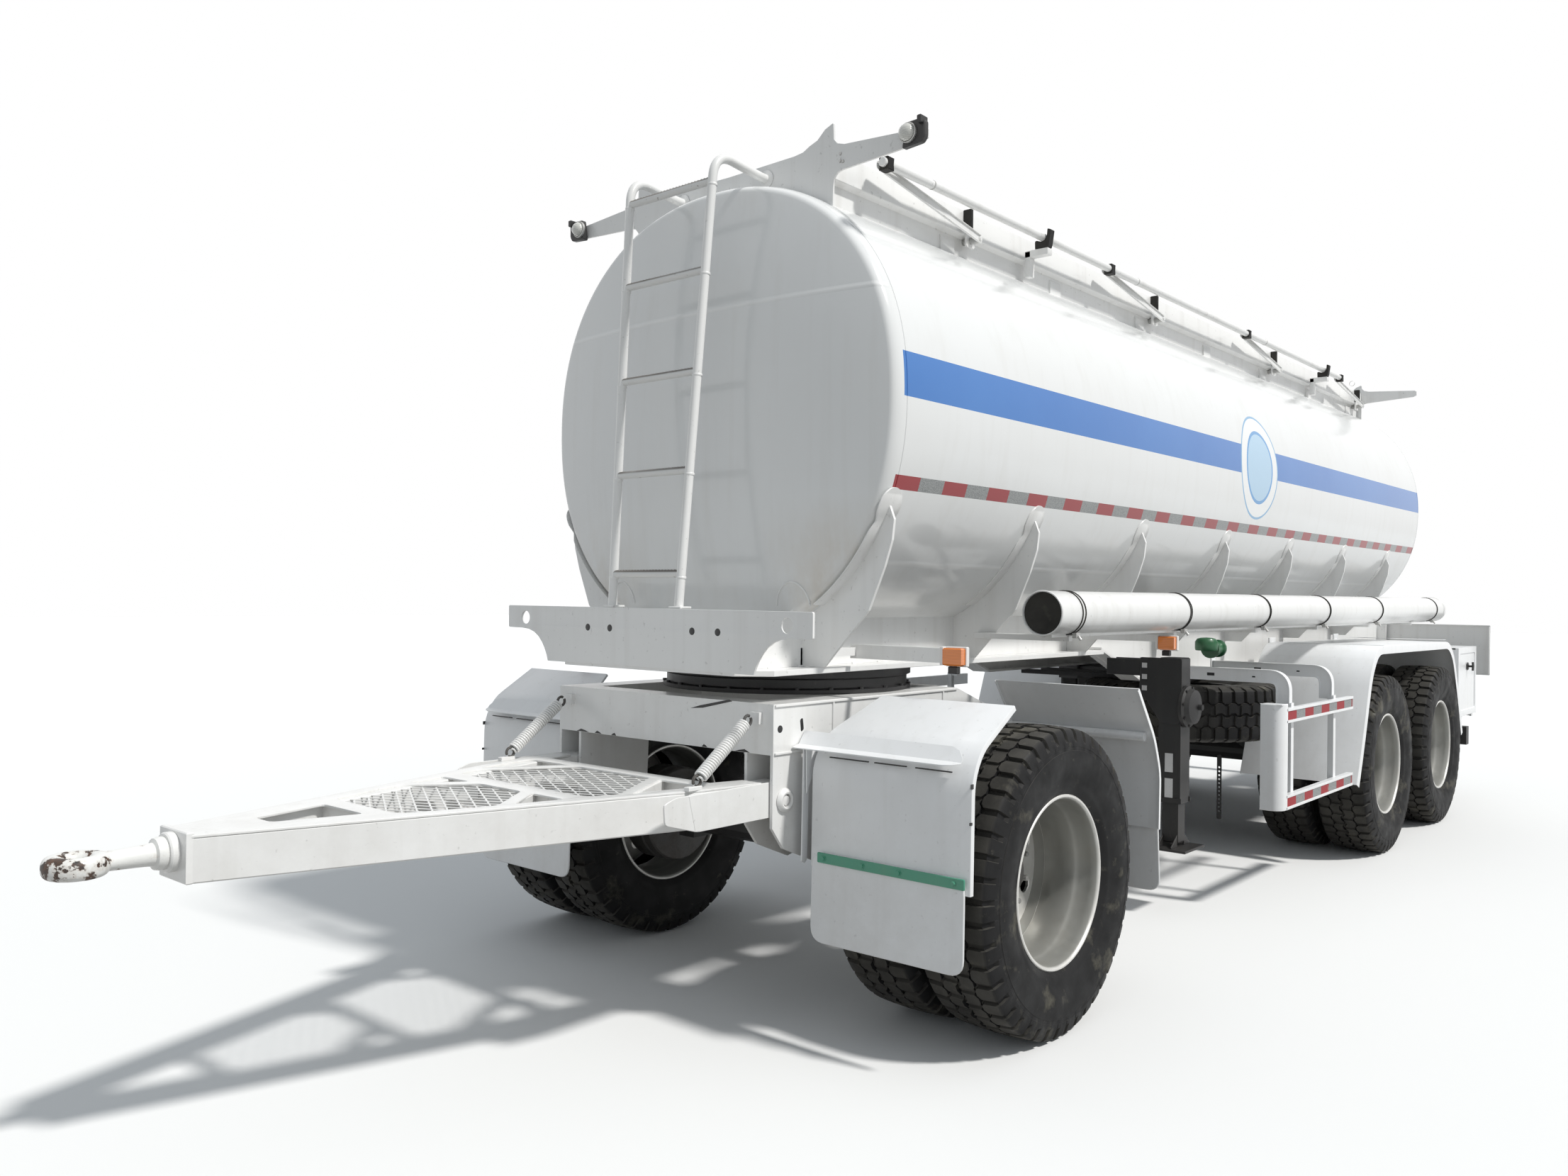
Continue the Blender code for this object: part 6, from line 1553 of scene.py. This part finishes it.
# Manholes: a bolted neck, and a pressed lid with a filler cap, a hinge strap and a latch lever.
lidBase = 3.0903
for number, x in ((1, -1.75), (2, -4.35)):
    hingeX, hingeZ = x - 0.265, 3.112
    profile = [(0, 2.9), (0.25, 2.9), (0.25, 3.052), (0.253, 3.058), (0.268, 3.06), (0.27, 3.062),
               (0.27, 3.088), (0.268, 3.09), (0, 3.09)]
    neck = [turnedShape(profile, "z", (x, 0, 0), 64)]
    for away, y in around(12, 0.2525, 0.5):
        neck.append(turnedShape([(0, 3.089), (0.0085, 3.089), (0.0085, 3.0965), (0, 3.097)], "z",
                                (x + away, y, 0), 6))
    for low in (-0.065, 0.05):
        ear = [(hingeX - 0.012, 3.08), (hingeX + 0.012, 3.08), (hingeX + 0.012, 3.124),
               (hingeX - 0.012, 3.124)]
        neck.append(plateShape(roundLoop(ear, 0.008, 4), "y", low, low + 0.015, 0.001))
    neck.append(pipeShape([(hingeX, y, hingeZ) for y in (-0.068, 0.0, 0.068)], 0.005, 14))
    profile = [(0, 0), (0.235, 0), (0.235, 0.012), (0.231, 0.017), (0.214, 0.019), (0.206, 0.023),
               (0.2, 0.03), (0.18, 0.033), (0.11, 0.037), (0, 0.04)]
    lid = [turnedShape([(r, lidBase + h) for r, h in profile], "z", (x, 0, 0), 64)]
    profile = [(0, 0.034), (0.084, 0.034), (0.09, 0.038), (0.09, 0.05), (0.086, 0.055), (0.04, 0.058),
               (0, 0.058)]
    lid.append(turnedShape([(r, lidBase + h) for r, h in profile], "z", (x + 0.045, 0, 0), 40))
    lid.append(blockShape((hingeX, x - 0.15), (-0.04, 0.04), (3.108, 3.124), 0.003))
    lid.append(pipeShape([(hingeX, y, hingeZ) for y in (-0.044, 0.0, 0.044)], 0.012, 18))
    lever = [(x + 0.15, 3.1235), (x + 0.205, 3.1235), (x + 0.262, 3.112), (x + 0.262, 3.106),
             (x + 0.15, 3.11)]
    lid.append(plateShape(roundLoop(lever, 0.003, 3), "y", -0.016, 0.016, 0.0015))
    addSet(f"manholeNeck_{number}", neck, lidAluminium, "chassis", (f"manhole_{number}",))
    addSet(f"manholeCover_{number}", lid, lidAluminium, f"manhole_lid_{number}", (f"manhole_lid_{number}",))


# Tool locker: folded walls with a lip round the opening; the door is a pressed panel in a raised frame.
def lockerShapes():
    low, high = -6.78, -6.18
    walls = [blockShape((low, high), (0.56, 0.572), (0.65, 1.16), 0.0015), blockShape((low, high),
                                                                                      (0.56, 1.17),
                                                                                      (1.148, 1.16), 0.0015),
             blockShape((low, high), (0.56, 1.17), (0.65, 0.662), 0.0015), blockShape((low, low + 0.012),
                                                                                      (0.56, 1.17),
                                                                                      (0.65, 1.16), 0.0015),
             blockShape((high - 0.012, high), (0.56, 1.17), (0.65, 1.16), 0.0015),
             blockShape((low + 0.02, high - 0.02), (1.15, 1.1685), (1.128, 1.149), 0.001)]
    for x in (low + 0.1, high - 0.1):
        walls.append(blockShape((x - 0.02, x + 0.02), (0.496, 0.565), (1.09, 1.15), 0.0015))
    for x in (low + 0.08, high - 0.08):
        ear = [(1.14, 0.652), (1.14, 0.63), (1.181, 0.63), (1.188, 0.637), (1.181, 0.644), (1.16, 0.644),
               (1.16, 0.652)]
        walls.append(plateShape(ear, "x", x - 0.01, x + 0.01, 0.001))
    door = [blockShape((low + 0.001, high - 0.001), (1.1703, 1.187), (0.651, 1.16), 0.0015)]
    frameLoop = [(low + 0.0015, 0.6515), (high - 0.0015, 0.6515), (high - 0.0015, 1.1595),
                 (low + 0.0015, 1.1595)]
    inset = [(low + 0.045, 0.695), (high - 0.045, 0.695), (high - 0.045, 1.115), (low + 0.045, 1.115)]
    door.append(cutPlate(frameLoop, [roundLoop(inset, 0.022, 5)], "y", 1.1862, 1.192, 0.0015))
    for x in (low + 0.12, high - 0.12):
        door.append(blockShape((x - 0.02, x + 0.02), (1.174, 1.188), (0.63, 0.66), 0.002))
        door.append(pipeShape([(x - 0.022, 1.181, 0.637), (x, 1.181, 0.637), (x + 0.022, 1.181, 0.637)],
                              0.007, 14))
    return joinShapes(walls), joinShapes(door)


wallMesh, doorMesh = lockerShapes()
addPiece("lockerBox", fromAxle(wallMesh), wingWhite, "chassis", ("toolbox",), 35, "white_paint")
addPiece("lockerDoor", fromAxle(doorMesh), wingWhite, "toolbox_door", ("toolbox_door",), 35, "white_paint")
print("front plate, manholes and locker made")


# Carried-over solids keep their shape and take a material by name; the rest are replaced by pieces above.
nodeMaterials = {"tank": tankPaint, "rail": frameWhite, "frame_front": frameWhite, "rear_board": whitePaint,
                 "rear_bumper": blackPaint, "bogie_frame": blackPaint, "top_frame": whitePaint,
                 "manhole": lidAluminium, "ladder": whitePaint, "hose_tube": whitePaint,
                 "landing_leg": blackPaint, "side_guard": wingWhite, "rear_mudguard": wingWhite,
                 "mudguard": wingWhite, "spare_tyre": tyreRubber, "spare_carrier": blackPaint,
                 "axle": blackPaint, "toolbox": wingWhite, "turntable": blackPaint, "dolly": frameWhite,
                 "drawbar": frameWhite, "tow_eye": chippedPaint, "tyre": tyreRubber, "rim": rimSilver,
                 "handrail": whitePaint,}
for name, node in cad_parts.items():
    match = next(key for key in nodeMaterials if name.startswith(key))
    node.data.materials.clear()
    node.data.materials.append(nodeMaterials[match])
    node.data.shade_smooth()
    node.data.set_sharp_from_angle(angle=math.radians(32))
print("carried-over solids painted")

# Studio: a wide pale floor, an even pale sky and a sun high on the trailer's left.
floorMaterial, tree = startMaterial("floorPaint")
away = addNode(tree, "ShaderNodeVectorMath", {0: placeOf(tree)}, operation="LENGTH").outputs["Value"]
floorTone = mixColor(tree, rampOf(tree, away, 5.0, 22.0), (0.86, 0.86, 0.855), (0.99, 0.99, 0.99))


# True for rays that come from the camera, straight or by way of metal and gloss: they see the pale surround.
def seenRays(tree):
    rays = addNode(tree, "ShaderNodeLightPath").outputs
    mirrored = mathOf(tree, "MAXIMUM", rays["Is Glossy Ray"], rays["Is Transmission Ray"])
    return mathOf(tree, "MAXIMUM", rays["Is Camera Ray"], mirrored)


# The floor throws back as little light as a worn yard would, though it is seen as a pale sheet.
floorTone = mixColor(tree, seenRays(tree), (0.34, 0.335, 0.325), floorTone)
setShader(floorMaterial, Base_Color=floorTone, Roughness=0.9, Specular_IOR_Level=0.1)
floorMesh = bpy.data.meshes.new("floor")
reach = 60.0
floorCorners = [(-reach, -reach, 0), (reach, -reach, 0), (reach, reach, 0), (-reach, reach, 0)]
floorMesh.from_pydata(floorCorners, [], [(0, 1, 2, 3)])
floorMesh.materials.append(floorMaterial)
floor = bpy.data.objects.new("floor", floorMesh)
scene.collection.objects.link(floor)

sunData = bpy.data.lights.new("sun", "SUN")
sunData.energy = 2.95
sunData.angle = math.radians(5)
sunData.color = (1.0, 0.985, 0.955)
sun = bpy.data.objects.new("sun", sunData)
sunFrom = Vector((-0.12, 0.62, 0.78))
sun.rotation_mode = "QUATERNION"
sun.rotation_quaternion = sunFrom.to_track_quat("Z", "Y")
scene.collection.objects.link(sun)

world = bpy.data.worlds.new("studio")
world.use_nodes = True
scene.world = world
sky = world.node_tree
background = sky.nodes["Background"]
seen = seenRays(sky)
sky.links.new(rampOf(sky, seen, 0.0, 1.0, 0.48, 1.0), background.inputs["Strength"])
sky.links.new(mixColor(sky, seen, (0.87, 0.94, 1.0), (1.0, 1.0, 1.0)), background.inputs["Color"])
scene.view_settings.view_transform = "Standard"
print("studio lit")
